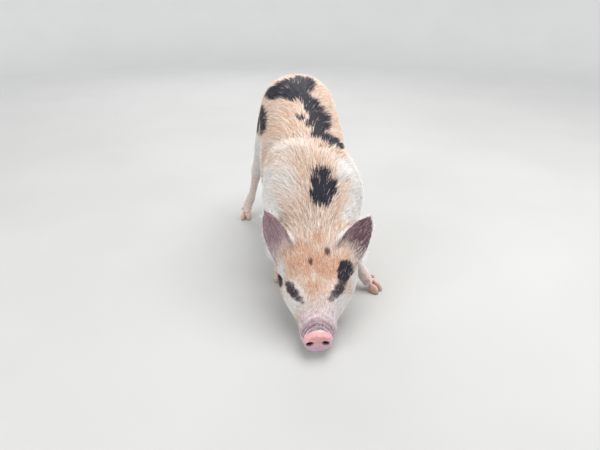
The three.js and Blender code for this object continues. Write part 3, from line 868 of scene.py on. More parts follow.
# How much of each marking there is at every point of the skin. The patches' edges wander by noise.
def markings(points, normals, part):
    fine = 0.34 * (softNoise(points, 10 * mm, 1) - 0.5) + 0.22 * (softNoise(points, 4 * mm, 2) - 0.5)
    slow = 0.5 * (softNoise(points, 30 * mm, 3) - 0.5)
    share = {}
    for colour, (strength, inner, outer, byFine, bySlow) in patchEdges.items():
        distance = patchDistance(points, normals, colour) + byFine * fine + bySlow * slow
        share[colour] = strength * rampDown(distance, inner, outer)
    belly = rampUp(-normals[:, 2], 0.1, 0.7) + rampUp(-points[:, 2], -0.15, -0.1) * (1 - part["face"])
    legs = np.clip(part["leg"] * 1.2, 0, 1)
    share["white"] = np.clip(np.maximum(share["white"], np.maximum(0.85 * belly, 0.6 * legs)), 0, 1)
    return share


marks = markings(points, normals, softPart)
print("markings placed")

# The skin's colours under the coat, with painted shade and painted light where noted

skinColours = {
    "pink": paint(228, 186, 176),
    "legPink": paint(212, 170, 160),
    "slate": paint(70, 64, 78),
    "earInside": paint(110, 84, 91),
    # dark streaks and the band near the root, and painted shade over the left ear
    "earDeepAndShade": paint(68, 44, 52),
    # pale clouds and the pale roll, and painted light over the right ear
    "earPaleAndLit": paint(196, 168, 174),
    "earRim": paint(230, 200, 200),
    "discTop": paint(207, 155, 155),
    "discLow": paint(198, 165, 181),
    # the nostrils' red lining, darkened as painted shade of their pits
    "nostril": paint(70, 28, 42),
    "muzzle": paint(202, 190, 196),
    "lilac": paint(172, 152, 164),
    # darker mauve skin of the snout's folds, and painted shade in the folds' grooves and the mouth's groove
    "foldDarkAndShade": paint(76, 58, 78),
    "foldPink": paint(172, 134, 152),
    "lidDark": paint(50, 38, 46),
    "lidRim": paint(142, 110, 118),
}


# the coat's colour at a point, from the markings
def coatColour(share, points):
    low = 0.4 * rampUp(-points[:, 2], -0.24, -0.12)
    fleck = rampUp(softNoise(points, 18 * mm, 11) + low, 0.3, 1.1)[:, None]
    colour = coatColours["tan"] * (1 - fleck) + coatColours["peach"] * fleck
    names = ("ginger", "paleAndRimLit", "white", "brown", "slate", "black")
    return layered(colour, coatColours, [(name, share[name]) for name in names])


# Inside an ear: streaks along it, darkest near the root, and a pale roll towards the crown, stronger on
# the right ear. The right ear is lighter as painted light, and the left one darker as painted shade.
def earColour(points, climb, across):
    streak = softNoise(points * [1, 1, 0.25], 3 * mm, 23) + 0.5 * softNoise(points, 14 * mm, 25)
    cloud = rampUp(softNoise(points, 9 * mm, 24), 0.5, 0.8)
    roll = bell(across, 13 * mm, 4 * mm) * rampDown(climb, 0.35, 0.7)
    onRight = points[:, 0] < 0
    return layered(skinColours["earInside"], skinColours, [
        ("earDeepAndShade", rampUp(streak, 0.55, 1.3)),
        ("earDeepAndShade", 0.8 * bell(climb, 0.22, 0.16)),
        ("earPaleAndLit", 0.5 * rampDown(climb, 0.3, 0.5) * cloud),
        # painted light: the right ear lighter all over, most near the root
        ("earPaleAndLit", onRight * (0.22 + 0.3 * rampDown(climb, 0.25, 0.6))),
        ("earPaleAndLit", roll * np.where(onRight, 0.8, 0.35)),
        # painted shade: the left ear darker all over
        ("earDeepAndShade", 0.42 * ~onRight),
    ])


def muzzleShare(points, part, near, far):
    return part["face"] * rampDown(points[:, 1], discFace + near, discFace + far)


def skinColour(points, normals, part, share):
    pink = 0.45 * (1 - share["black"]) * (1 - share["brown"]) * (1 - share["slate"])
    mottle = rampUp(softNoise(points, 3.5 * mm, 21), 0.4, 0.8)
    snout = mixRows(skinColours["muzzle"], skinColours["lilac"], mottle)
    behind = bell(points[:, 1] - discHigh.y, 9 * mm, 8 * mm) * rampUp(normals[:, 2], -0.2, 0.4)
    fold = foldDepth(points, normals, part) / mm
    blush = rampUp(softNoise(points, 16 * mm, 22), 0.5, 0.9)
    ground = [("pink", pink), ("slate", 0.4 * share["black"])]
    colour = layered(coatColour(share, points), skinColours, ground)
    colour = mixRows(colour, snout, 0.8 * (muzzleShare(points, part, 0.032, 0.062) * (1 - part["disc"])))
    # On the snout: a darker mauve band behind the disc, pink on the folds' ridges, and painted shade
    # darkening each fold's groove and the mouth's groove.
    colour = layered(colour, skinColours, [
        ("foldDarkAndShade", 0.56 * behind * part["face"]),
        ("foldPink", 0.75 * rampUp(-fold, 0.1, 0.8)),
        ("foldDarkAndShade", 0.8 * rampUp(fold, 0.5, 1.6)),
        ("foldDarkAndShade", 0.75 * (mouthShare(part, 0.12) * snoutOnly(part))),
        ("legPink", part["leg"] * (0.55 + 0.4 * blush)),
    ])
    climb, inside, across = earPlace(points, normals)
    colour = mixRows(colour, earColour(points, climb, across), part["ear"] * rampUp(inside, 0.05, 0.45))
    rim = part["ear"] * bell(inside, 0.15, 0.3) * rampUp(climb, 0.1, 0.3)
    onDisc = rampUp(part["disc"], 0.35, 0.7)
    aside = np.abs(points[:, 0] - discMiddle[0])
    low = points[:, 2] - 0.5 * np.maximum(aside - 8 * mm, 0)
    lift = rampUp(low, discMiddle[2] - 3 * mm, discMiddle[2] + 6 * mm)
    colour = mixRows(colour, skinColours["earRim"], 0.7 * rim)
    colour = mixRows(colour, mixRows(skinColours["discLow"], skinColours["discTop"], lift), onDisc)
    # the nostrils: their lining's red, darkened as painted shade of the pits
    colour = mixRows(colour, skinColours["nostril"], onDisc * rampDown(nostrilRing(points), 0.7, 1.1))
    for eye in eyes.values():
        _, height, x, y, edge = byEye(points, eye)
        tear = np.hypot((x - 14 * mm) / (8 * mm), y / (2.4 * mm))
        dark = np.maximum(rampDown(edge, 0.8 * mm, 4.5 * mm), 0.6 * rampDown(tear, 0.5, 1.2))
        rim = 0.75 * bell(edge, 0.5 * mm, 0.45 * mm)
        before = height > 0
        colour = layered(colour, skinColours, [("lidDark", 0.9 * dark * before), ("lidRim", rim * before)])
    return colour


# Materials


# an input's value is a number, a colour or another node's output
def setInputs(tree, node, inputs):
    for name, value in inputs.items():
        if isinstance(value, bpy.types.NodeSocket):
            tree.links.new(value, node.inputs[name])
        else:
            node.inputs[name].default_value = value


def addNode(tree, kind, inputs, **settings):
    node = tree.nodes.new(kind)
    for name, value in settings.items():
        setattr(node, name, value)
    setInputs(tree, node, inputs)
    return node.outputs


def newMaterial(name):
    material = bpy.data.materials.new(name)
    material.use_nodes = True
    return material, material.node_tree


def setShader(tree, inputs):
    setInputs(tree, tree.nodes["Principled BSDF"], inputs)


def attributeNode(tree, name, output="Fac"):
    return addNode(tree, "ShaderNodeAttribute", {}, attribute_name=name)[output]


def placeNode(tree):
    return addNode(tree, "ShaderNodeTexCoord", {})["Object"]


def noiseNode(tree, scale, detail=3.0, stretch=(1, 1, 1), turn=(0, 0, 0)):
    inputs = {"Vector": placeNode(tree), "Scale": stretch, "Rotation": turn}
    mapping = addNode(tree, "ShaderNodeMapping", inputs)
    inputs = {"Vector": mapping["Vector"], "Scale": scale, "Detail": detail}
    return addNode(tree, "ShaderNodeTexNoise", inputs)["Fac"]


def rangeNode(tree, source, low, high, toLow, toHigh):
    inputs = {"Value": source, "From Min": low, "From Max": high, "To Min": toLow, "To Max": toHigh}
    return addNode(tree, "ShaderNodeMapRange", inputs)["Result"]


# noise as a value between two others
def variedNode(tree, toLow, toHigh, *noise):
    return rangeNode(tree, noiseNode(tree, *noise), 0.3, 0.7, toLow, toHigh)


# a colour multiplied by a value: inputs 6 and 7 and output 2 are the node's colours
def tonedNode(tree, colour, tone):
    inputs = {0: 1.0, 6: colour, 7: tone}
    return addNode(tree, "ShaderNodeMix", inputs, data_type="RGBA", blend_type="MULTIPLY")[2]


def rampNode(tree, source, stops):
    ramp = tree.nodes.new("ShaderNodeValToRGB")
    while len(ramp.color_ramp.elements) < len(stops):
        ramp.color_ramp.elements.new(0.5)
    for element, (place, colour) in zip(ramp.color_ramp.elements, stops):
        element.position = place
        element.color = (*paint(*colour), 1)
    setInputs(tree, ramp, {"Fac": source})
    return ramp.outputs["Color"]


# bump nodes in a row, each on top of the one before
def bumpChain(tree, layers):
    below = {}
    for height, strength, distance in layers:
        inputs = {"Height": height, "Strength": strength, "Distance": distance, **below}
        below = {"Normal": addNode(tree, "ShaderNodeBump", inputs)["Normal"]}
    return below["Normal"]


skinLook = {
    "roughness": (0.42, 0.62),
    "scattering": 0.12,
    "radius": (0.006, 0.0025, 0.0015),
    "poreScale": 1100.0,
    "hairScale": 1300.0,
    "hairStretch": 0.08,
    "hairDepth": 0.0005,
}


# Skin: its colour is an attribute, mottled by noise; pores and the lie of short hair are bump, with
# the hair's noise drawn out along the body, up the face and down the legs.
def skinMaterial():
    material, tree = newMaterial("pig_skin")
    toned = tonedNode(tree, attributeNode(tree, "skinColour", "Color"), variedNode(tree, 0.86, 1.1, 260.0))
    stretch = skinLook["hairStretch"]
    strands = {
        "bodyShare": ((1, stretch, 1), (0, 0, 0)),
        "faceShare": ((1, stretch, 1), (-0.8, 0, 0)),
        "legShare": ((1, 1, stretch), (0, 0, 0)),
    }
    layers = [(noiseNode(tree, skinLook["poreScale"]), 0.25, 0.0004)]
    for share, lie in strands.items():
        inputs = {0: noiseNode(tree, skinLook["hairScale"], 2.0, *lie), 1: attributeNode(tree, share)}
        both = addNode(tree, "ShaderNodeMath", inputs, operation="MULTIPLY")[0]
        layers.append((both, 0.45, skinLook["hairDepth"]))
    setShader(tree, {
        "Base Color": tonedNode(tree, toned, variedNode(tree, 0.92, 1.06, 40.0)),
        "Roughness": variedNode(tree, *skinLook["roughness"], 120.0),
        "Specular IOR Level": 0.35,
        "Subsurface Weight": skinLook["scattering"],
        "Subsurface Radius": skinLook["radius"],
        "Subsurface Scale": 1.0,
        "Normal": bumpChain(tree, layers),
    })
    return material


coatLook = {"roughness": (0.5, 0.68), "specular": 0.3, "sheen": 0.04}


# Bristles: the colour is an attribute of each tuft, varied along it, with a satin gloss.
def coatMaterial():
    material, tree = newMaterial("pig_bristle")
    tone = variedNode(tree, 0.9, 1.08, 300.0, 2.0)
    setShader(tree, {
        "Base Color": tonedNode(tree, attributeNode(tree, "coatColour", "Color"), tone),
        "Roughness": variedNode(tree, *coatLook["roughness"], 500.0, 2.0),
        "Specular IOR Level": coatLook["specular"],
        "Sheen Weight": coatLook["sheen"],
        "Sheen Roughness": 0.4,
    })
    return material


bristle = coatMaterial()

# The skin's piece


def makeSkin():
    mesh = newMesh("piglet_skin", points, triangles)
    storeValues(mesh, "skinColour", skinColour(points, normals, softPart, marks))
    leg = np.clip(softPart["leg"] + softPart["tail"], 0, 1) * (1 - softPart["ear"])
    face = np.clip(softPart["face"] - softPart["disc"], 0, 1)
    storeValues(mesh, "legShare", leg)
    storeValues(mesh, "faceShare", face)
    storeValues(mesh, "bodyShare", np.clip(1 - leg - face - softPart["disc"] - softPart["ear"], 0, 1))
    skin = newObject("piglet_skin", mesh, skinMaterial())
    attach(skin, "root")
    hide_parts(*fleshNodes)


makeSkin()
print("skin made")


# The lie of the coat: backwards along the body, outwards and down its sides, up the face, down the
# legs and out to the ears' tips. Parts blend by their shares and the whole is evened and laid flat.
def lieOfCoat(points, normals, part):
    count = len(points)
    lateral = np.clip((points[:, 0] - np.where(part["face"] > 0.5, discMiddle[0], 0)) / 0.085, -1.2, 1.2)
    top = np.clip(normals[:, 2], 0, 1)
    flank = np.sqrt(np.clip(1 - normals[:, 2] ** 2, 0, 1))
    barrel = rampUp(points[:, 1], -0.09, 0.03)
    spread = 0.45 + 1.1 * barrel
    body = np.column_stack([spread * lateral * top, np.ones(count), -(0.3 + 0.75 * barrel) * flank])
    under = rampUp(-normals[:, 2], 0.2, 0.6)[:, None]
    body = body * (1 - under) + np.array([0, 1, 0]) * under
    steep = rampUp(normals[:, 2], -0.1, 0.5)
    face = np.column_stack([0.5 * lateral * top, np.full(count, 0.8), 0.62 * steep - 0.1])
    leg = np.tile([0.0, 0.12, -1.0], (count, 1))
    ear = np.where((points[:, 0] > 0)[:, None], ears["left"]["up"], ears["right"]["up"])
    lie = body
    ways = {"thigh": body + [0, -0.3, -1.2], "face": face, "leg": leg, "tail": leg, "ear": ear}
    for name, rows in ways.items():
        turn = rampUp(part[name], 0.1, 0.7) * (0.7 if name == "thigh" else 1)
        lie = lie + (unitRows(rows) - unitRows(lie)) * turn[:, None]
    return lie


lie = alongSurface(lieOfCoat(points, normals, softPart), normals)
lie = alongSurface(evened(lie, pairs, 0.7, 8), normals)
print("coat's lie worked out")

# The coat: how thick it stands, how long, wide and steep its tufts are, on each part

coatShape = {
    "share": 1.0,
    "perSquareMm": {"body": 0.34, "face": 0.66, "disc": 0.0, "ear": 0.42, "leg": 0.42, "tail": 0.6},
    "length": inMm(body=19, face=8.0, disc=2, ear=6.5, leg=6.0, tail=10),
    "width": inMm(body=0.85, face=0.55, disc=0.3, ear=0.42, leg=0.5, tail=0.6),
    "rise": {"body": 0.36, "face": 0.36, "disc": 0.3, "ear": 0.2, "leg": 0.34, "tail": 0.4},
    "bend": 0.62,  # how much of its rise a tuft loses by its tip
    "perPiece": 18500,  # the most tufts in a piece
    "seed": 7,
}
random = np.random.default_rng(coatShape["seed"])


# each triangle's area times the density at its corners
def triangleWeights(density):
    return np.linalg.norm(faceCrosses(points, triangles), axis=1) / 2 * density[triangles].mean(1)


# Random places on the triangles: each triangle is drawn by its weight, and each place is a random mix
# of the corners.
def scatter(density, count):
    chance = np.cumsum(triangleWeights(density))
    drawn = np.searchsorted(chance, random.random(count) * chance[-1])
    drawn = np.minimum(drawn, len(triangles) - 1)
    u, v = random.random(count), random.random(count)
    flip = u + v > 1
    u, v = np.where(flip, 1 - u, u), np.where(flip, 1 - v, v)
    mix = np.column_stack([1 - u - v, u, v])
    corners = triangles[drawn]
    return lambda values: np.einsum("ij,ij...->i...", mix, values[corners])


def tuftCount(density):
    return int(int(triangleWeights(density).sum() / mm**2) * coatShape["share"])


# A tuft is a thin closed spike: two rings of three points and a tip. At the share s of its length
# its middle is root + way L s + normal L rise s (1 - bend s), so it rises and bends back to the coat.
def tuftArrays(tufts):
    root, normal, way, length = (tufts[name] for name in ("root", "normal", "way", "length"))
    side = unitRows(np.cross(normal, way))
    rows = []
    for place in (-0.05, 0.45, 1.0):
        lift = tufts["rise"] * place * (1 - coatShape["bend"] * place)
        rows.append(root + way * (length * place)[:, None] + normal * (length * lift)[:, None])
    corners = []
    for ring, size in enumerate((1.0, 0.8)):
        for corner in range(3):
            angle = math.radians(90 + 120 * corner)
            out = side * math.cos(angle) + normal * (0.55 * math.sin(angle))
            corners.append(rows[ring] + out * (0.5 * tufts["width"] * size)[:, None])
    spike = np.stack([*corners, rows[2]], axis=1).reshape(-1, 3)
    pattern = [(0, 2, 1)]
    for corner in range(3):
        after = (corner + 1) % 3
        pattern += [(corner, after, after + 3), (corner, after + 3, corner + 3), (corner + 3, after + 3, 6)]
    faces = (np.array(pattern)[None] + (np.arange(len(root)) * 7)[:, None, None]).reshape(-1, 3)
    return spike, faces


# Colour runs from a root darkened by painted shade, deep in the coat, to a tip lightened by painted light.
def tuftColours(colour):
    steps = np.array([0.66] * 3 + [0.98] * 3 + [1.14])
    return np.clip(colour[:, None, :] * steps[None, :, None], 0, 1).reshape(-1, 3)


# each tuft's patch of the bake map: at its root's place on the unwrap, root to tip across it
def bakeMap(mesh, place, faces):
    size = 0.003
    local = np.array([[0, 0], [0.5, 0], [1, 0], [0, 0.5], [0.5, 0.5], [1, 0.5], [0.5, 1]]) * size
    spots = (place[:, None, :] * (1 - size) + local[None]).reshape(-1, 2)
    layer = mesh.uv_layers.new(name="OFBake")
    layer.data.foreach_set("uv", spots[faces.ravel()].astype(np.float32).ravel())


# The unwrap of a stretch of the skin: the angle round its middle line, and the way along it.
def unrolled(root, axis):
    along = root @ axis
    window = max(len(root) // 24, 1)
    groups = np.array_split(np.argsort(along), max(len(root) // window, 1))
    level = np.array([along[group].mean() for group in groups])
    middles = np.array([root[group].mean(0) for group in groups])
    rel = root - np.column_stack([np.interp(along, level, middles[:, k]) for k in range(3)])
    first = unitRows(np.cross(axis, [0.3, 0.2, 1.0] if abs(axis[2]) < 0.9 else [1.0, 0, 0]))
    second = np.cross(axis, first)
    angle = np.arctan2(rel @ second, rel @ first) / (2 * math.pi) + 0.5
    return np.column_stack([angle, (along - along.min()) / max(np.ptp(along), 1e-6)])


# Its shading follows the skin below, with a little of its own form and a random lean for each tuft.
def makeCoatPiece(name, tufts, axis, light=None):
    spike, faces = tuftArrays(tufts)
    mesh = newMesh(name, spike, faces)
    storeValues(mesh, "coatColour", tuftColours(tufts["colour"]))
    bakeMap(mesh, unrolled(tufts["root"], unitRows(np.array(axis, float))), faces)
    normal = tufts["normal"]
    lean = (normal if light is None else light) + random.normal(0, 0.13, normal.shape)
    soft = unitRows(0.78 * np.repeat(lean, 7, axis=0) + 0.22 * surfaceNormals(spike, faces))
    mesh.normals_split_custom_set_from_vertices(soft.tolist())
    piece = newObject(name, mesh, bristle)
    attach(piece, "root")
    print("coat piece", name, len(normal), "tufts")


# where the skin is bare: in the eyes' openings, on the disc, and in the nostrils
def bareSkin(points, part):
    bare = rampUp(part["disc"], 0.25, 0.5)
    for eye in eyes.values():
        _, height, _, _, edge = byEye(points, eye)
        bare = np.maximum(bare, rampDown(edge, 1.2 * mm, 4.2 * mm) * (height > 0))
    snoutTop = rampDown(points[:, 1], discHigh.y + 0.012, discHigh.y + 0.034) * part["face"]
    return np.maximum(bare, 0.88 * snoutTop)


# how near each point is to an eye's opening, 1 at its lids
def byEyes(points):
    return rampDown(eyeDistance(points), 0.011, 0.022)


def makeCoat():
    part = softPart
    climb, inside, _ = earPlace(points, normals)
    innerEar = part["ear"] * rampUp(inside, 0.0, 0.4)
    muzzle = muzzleShare(points, part, 0.03, 0.08)
    belly = rampUp(-normals[:, 2], 0.2, 0.7)
    density = blendByPart(coatShape["perSquareMm"], part) * (1 - bareSkin(points, part))
    bareEar = (0.88 - 0.3 * rampDown(climb, 0.2, 0.5)) * innerEar
    density *= (1 - bareEar) * (1 - 0.4 * belly) * (1 - 0.3 * muzzle)
    count = tuftCount(density)
    at = scatter(density, count)
    root, normal = at(points), unitRows(at(normals))
    way = alongSurface(at(lie) + random.normal(0, 0.16, (count, 3)), normal)
    near = {name: at(values) for name, values in part.items()}
    wild = random.random(count)
    length = blendByPart(coatShape["length"], near) * (0.7 + 0.6 * random.random(count))
    shorter = (1 - 0.5 * at(muzzle)) * (1 - 0.3 * at(belly))
    length *= shorter * (1 - 0.3 * near["thigh"]) * (1 - 0.35 * near["foot"])
    length *= (1 + 0.5 * rampUp(root[:, 1], -0.215, -0.17) * near["face"]) * (1 - 0.5 * byEyes(root))
    width = blendByPart(coatShape["width"], near) * (0.8 + 0.4 * random.random(count))
    middle = root + way * (0.5 * length)[:, None]
    tufts = {
        "root": root,
        "normal": normal,
        "way": way,
        "length": length,
        "width": width / math.sqrt(coatShape["share"]),
        "rise": blendByPart(coatShape["rise"], near) * (0.6 + 0.8 * wild),
        "colour": tuftColour(root, near, markings(middle, normal, near), at(innerEar)),
    }
    for name, (mine, axis) in coatGroups(root, near).items():
        makeCoatPiece(name, {key: rows[mine] for key, rows in tufts.items()}, axis)


# A tuft takes the markings at its middle, wholly or not at all for black, so that a patch's edge is
# ragged, and some pale ones grow through the dark patches. The rest is a mix of tan, cream and ginger.
def tuftColour(root, near, share, innerEar):
    count = len(root)
    dice = random.random((4, count))
    dark = (share["black"] > 0.22 + 0.56 * dice[0]) & (dice[1] > 0.03)
    slate = (share["slate"] > 0.2 + 0.6 * dice[1]) * (0.75 + 0.25 * dice[2])
    ginger = share["ginger"] * (0.55 + 0.6 * dice[2])
    white = share["white"] * (0.75 + 0.4 * dice[1])
    share = {**share, "black": dark.astype(float), "slate": slate, "ginger": ginger, "white": white}
    plain = 1 - share["black"]
    streak = (0.3 + 0.3 * near["face"]) * (dice[3] < 0.17) * (1 - white)
    light = 0.75 * (dice[3] > 0.62) * (1 - 0.65 * ginger) * np.maximum(1 - share["brown"] - slate, 0)
    nape = bell(root[:, 1], -0.165, 0.035) * bell(root[:, 0], 0.01, 0.04)
    umber = 0.5 * (dice[0] < 0.06 + 0.3 * nape) * (1 - 0.6 * white)
    muzzle = muzzleShare(root, near, 0.035, 0.065)
    colours = {**coatColours, "lidDark": skinColours["lidDark"]}
    colour = layered(coatColour(share, root), colours, [
        ("ginger", plain * streak),
        ("cream", plain * light),
        ("brown", plain * umber),
        ("lidDark", 0.7 * slate * byEyes(root)),
        ("white", 0.4 * muzzle),
        ("grey", 0.4 * muzzle),
        ("brown", 0.7 * muzzle * (dice[2] < 0.12)),
        ("grey", 0.5 * innerEar),
    ])
    tone = 1 + 0.15 * random.normal(0, 1, count)
    return np.clip(colour * np.clip(tone, 0.6, 1.35)[:, None], 0.005, 0.95)


# The coat in pieces by the part of the body that they grow on, each with the way its unwrap runs
def coatGroups(root, near):
    kind = np.array(["trunk"] * len(root), dtype="<U12")
    for name in ("face", "leg", "tail", "ear"):
        kind[near[name] > 0.5] = name
    groups = {}
    for name, axis in (("trunk", (0, 1, 0.3)), ("face", (0, 0.75, 0.65))):
        mine = np.where(kind == name)[0]
        pieces = max(math.ceil(len(mine) / coatShape["perPiece"]), 1)
        for number, rows in enumerate(np.array_split(mine[np.argsort(root[mine, 1])], pieces)):
            groups[f"coat_{name}_{number + 1}"] = (np.sort(rows), axis)
    middleY = (cadBox[0][1] + cadBox[1][1]) / 2
    for end, isHere in (("fore", root[:, 1] < middleY), ("hind", root[:, 1] >= middleY)):
        for sideName in sideNames:
            mine = (kind == "leg") & isHere & onSide(root, sideName)
            groups[f"coat_{end}_{sideName}_leg"] = (mine, (0, 0, 1))
    for sideName in sideNames:
        groups[f"coat_ear_{sideName}"] = ((kind == "ear") & onSide(root, sideName), ears[sideName]["up"])
    groups["coat_tail"] = (kind == "tail", (0, 0, 1))
    return groups


makeCoat()

# Longer hair: the ears' fringes, whiskers, lashes and the tail's end

longHair = {
    "fringe": {"perSquareMm": 1.3, "length": 8 * mm, "baseLength": 13 * mm, "width": 0.4 * mm, "rise": 0.1},
    "whiskers": {"count": 90, "length": 17 * mm, "width": 0.3 * mm, "rise": -0.15},
    "lashes": {"count": 30, "length": 7.5 * mm, "width": 0.32 * mm, "rise": -0.2},
    "tailEnd": {"perSquareMm": 1.6, "length": 26 * mm, "width": 0.5 * mm, "rise": 0.05},
}


def plainColour(name, count, spread=0.1):
    return np.clip(coatColours[name] * (1 + spread * random.normal(0, 1, (count, 1))), 0.005, 0.95)


def longTufts(shape, root, normal, way, length, colour):
    width = shape["width"] / (1 if "count" in shape else math.sqrt(coatShape["share"]))
    return {
        "root": root,
        "normal": normal,
        "way": way,
        "length": length,
        "width": np.full(len(root), width),
        "rise": np.full(len(root), shape["rise"]),
        "colour": colour,
    }


# Where the ear's skin faces neither forward nor back it is its edge: white hair stands out from it,
# longer at the ear's base.
def makeFringes():
    climb, inside, _ = earPlace(points, normals)
    shape = longHair["fringe"]
    for sideName, ear in ears.items():
        edge = softPart["ear"] * rampDown(np.abs(inside), 0.35, 0.7) * onSide(points, sideName)
        edge = edge * rampUp(softPart["ear"], 0.4, 0.7)
        density = edge * shape["perSquareMm"] * (1 + 1.2 * rampDown(climb, 0.0, 0.5))
        count = tuftCount(density)
        at = scatter(density, count)
        root, normal = at(points), unitRows(at(normals))
        way = unitRows(0.6 * normal + 0.75 * ear["up"] + random.normal(0, 0.14, (count, 3)))
        length = shape["length"] + shape["baseLength"] * rampDown(at(climb), 0.0, 0.45)
        length = length * (0.6 + 0.6 * random.random(count))
        tufts = longTufts(shape, root, normal, way, length, plainColour("white", count))
        light = unitRows(0.4 * normal + np.array([0, -0.35, 0.75]))
        makeCoatPiece(f"ear_fringe_{sideName}", tufts, ear["up"], light)


def makeWhiskers():
    shape = longHair["whiskers"]
    side = rampUp(np.abs(normals[:, 0]), 0.2, 0.6) + rampUp(-normals[:, 2], 0.1, 0.6)
    place = softPart["face"] * (1 - bareSkin(points, softPart)) * side
    density = place * rampDown(points[:, 1], discFace + 0.035, discFace + 0.085)
    density = density + 0.02 * softPart["face"] * side
    at = scatter(density, shape["count"])
    root, normal = at(points), unitRows(at(normals))
    way = unitRows(0.55 * normal + 0.8 * at(lie) + random.normal(0, 0.12, normal.shape))
    length = shape["length"] * (0.5 + 0.7 * random.random(len(root)))
    tufts = longTufts(shape, root, normal, way, length, plainColour("cream", len(root), 0.2))
    light = unitRows(0.5 * normal + np.array([0, -0.2, 0.7]))
    makeCoatPiece("whiskers", tufts, (0, 1, 0), light)


# Lashes stand in a row on the upper lid's edge, at the same steps along it.
def makeLashes():
    shape = longHair["lashes"]
    longHalf, highHalf = eyeShape["opening"]
    x = np.linspace(-0.85, 0.75, shape["count"]) * longHalf
    y = highHalf * (1 - (x / longHalf) ** 2) + 0.3 * mm
    roots, normals, ways = [], [], []
    for eye in eyes.values():
        z = np.sqrt((eye["radius"] + 0.8 * eyeShape["lids"][0]) ** 2 - x**2 - y**2)
        root = eye["middle"] + x[:, None] * eye["nose"] + y[:, None] * eye["up"]
        root = root + z[:, None] * eye["outward"]
        aside = 0.5 * (x / longHalf)[:, None] * eye["nose"]
        out = 0.85 * unitRows(root - eye["middle"]) + 0.35 * eye["up"] + aside
        roots.append(root)
        normals.append(np.tile(eye["up"], (len(root), 1)))
        ways.append(unitRows(out + random.normal(0, 0.1, root.shape)))
    root, normal, way = (np.concatenate(rows) for rows in (roots, normals, ways))
    count = len(root)
    length = shape["length"] * (0.7 + 0.5 * random.random(count))
    colour = plainColour("brown", count)
    colour = mixRows(colour, coatColours["cream"], 0.55 * (random.random(count) < 0.3))
    makeCoatPiece("lashes", longTufts(shape, root, normal, way, length, colour), (0, 1, 0))


def makeTailEnd():
    shape = longHair["tailEnd"]
    low = points[softPart["tail"] > 0.6][:, 2].min()
    density = shape["perSquareMm"] * softPart["tail"] * rampDown(points[:, 2], low + 0.012, low + 0.05)
    count = tuftCount(density)
    at = scatter(density, count)
    root, normal = at(points), unitRows(at(normals))
    way = unitRows(at(lie) + 0.12 * normal + random.normal(0, 0.1, normal.shape))
    length = shape["length"] * (0.4 + 0.6 * random.random(count))
    colour = plainColour("cream", count)
    colour = mixRows(colour, coatColours["ginger"], 0.6 * random.random(count))
    makeCoatPiece("tail_end", longTufts(shape, root, normal, way, length, colour), (0, 0, 1))


makeFringes()
makeWhiskers()
makeLashes()
makeTailEnd()
print("long hair made")


# a ball's ways out from its middle, in rings from pole to pole, each a full turn
def ballWays(steps, turns):
    level = np.linspace(0, math.pi, steps)[:, None]
    around = np.linspace(0, 2 * math.pi, turns, endpoint=False)[None]
    ring = np.sin(level)
    return np.stack([ring * np.cos(around), ring * np.sin(around), np.cos(level) + 0 * around], -1)


def ringFaces(steps, turns):
    index = np.arange(steps * turns).reshape(steps, turns)
    a, b = index[:-1], np.roll(index, -1, axis=1)[:-1]
    c, d = index[1:], np.roll(index, -1, axis=1)[1:]
    return np.stack([a, c, d, b], axis=-1).reshape(-1, 4)


# each pole's points become one
def closePoles(piece):
    piece.modifiers.new("poles", "WELD").merge_threshold = 1e-5


# Eyes: a ball with a raised cornea, its rings placed by the angle from the way it looks

eyeLook = {
    "bulge": 0.5 * mm,
    "inset": 0.3 * mm,
    "steps": 40,
    "turns": 48,
    "gaze": (-0.12, 0.08),  # turned up and to the nose by this
    # colours by the angle from the middle of the gaze: pupil, iris, its dark rim, and the white
    "rings": (
        (0.0, (7, 6, 8)), (0.24, (9, 7, 8)), (0.31, (62, 40, 27)), (0.52, (44, 28, 20)), (0.6, (16, 11, 12)),
        (0.68, (66, 50, 50)), (1.0, (96, 74, 74)),
    ),
}


def makeEye(sideName, material):
    eye = eyes[sideName]
    turns, steps = eyeLook["turns"], eyeLook["steps"]
    angle = np.repeat(np.linspace(0, math.pi, steps), turns)
    radius = eye["radius"] - eyeLook["inset"] + eyeLook["bulge"] * bell(angle, 0, 0.55)
    up, toNose = eyeLook["gaze"]
    gaze = unitRows(eye["outward"] + up * eye["up"] + toNose * eye["nose"])
    across = unitRows(np.cross(gaze, eye["up"]))
    ways = ballWays(steps, turns).reshape(-1, 3) @ np.array([across, np.cross(across, gaze), gaze])
    grid = eye["middle"] + radius[:, None] * ways
    mesh = newMesh("eye_ball_" + sideName, grid, ringFaces(steps, turns)[:, ::-1])
    storeValues(mesh, "gaze", angle)
    piece = newObject("eye_ball_" + sideName, mesh, material)
    closePoles(piece)
    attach(piece, "root")
    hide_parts("eye_" + sideName)


def makeEyeMaterial():
    material, tree = newMaterial("wet_eye")
    rings = rampNode(tree, attributeNode(tree, "gaze"), eyeLook["rings"])
    setShader(tree, {
        "Base Color": tonedNode(tree, rings, variedNode(tree, 0.7, 1.2, 900.0)),
        "Roughness": 0.08,
        "Specular IOR Level": 0.35,
        "Coat Weight": 0.5,
        "Coat Roughness": 0.02,
    })
    return material


eyeMaterial = makeEyeMaterial()
for sideName in sideNames:
    makeEye(sideName, eyeMaterial)
print("eyes made")

# Hooves: each claw is the rounding of its solid. In the direction d from its middle its surface lies
# at (sum of (n.d / h)^p)^(-1/p) over the solid's face planes, with normal n at the distance h.

hornLook = {
    "rounding": 15,
    "steps": 30,
    "turns": 44,
    "growth": 1400.0,
    # colours by the height over the claw's lowest point
    "stops": ((0.12, (128, 106, 92)), (0.3, (182, 156, 138)), (0.75, (204, 174, 156)), (1, (212, 172, 160))),
}


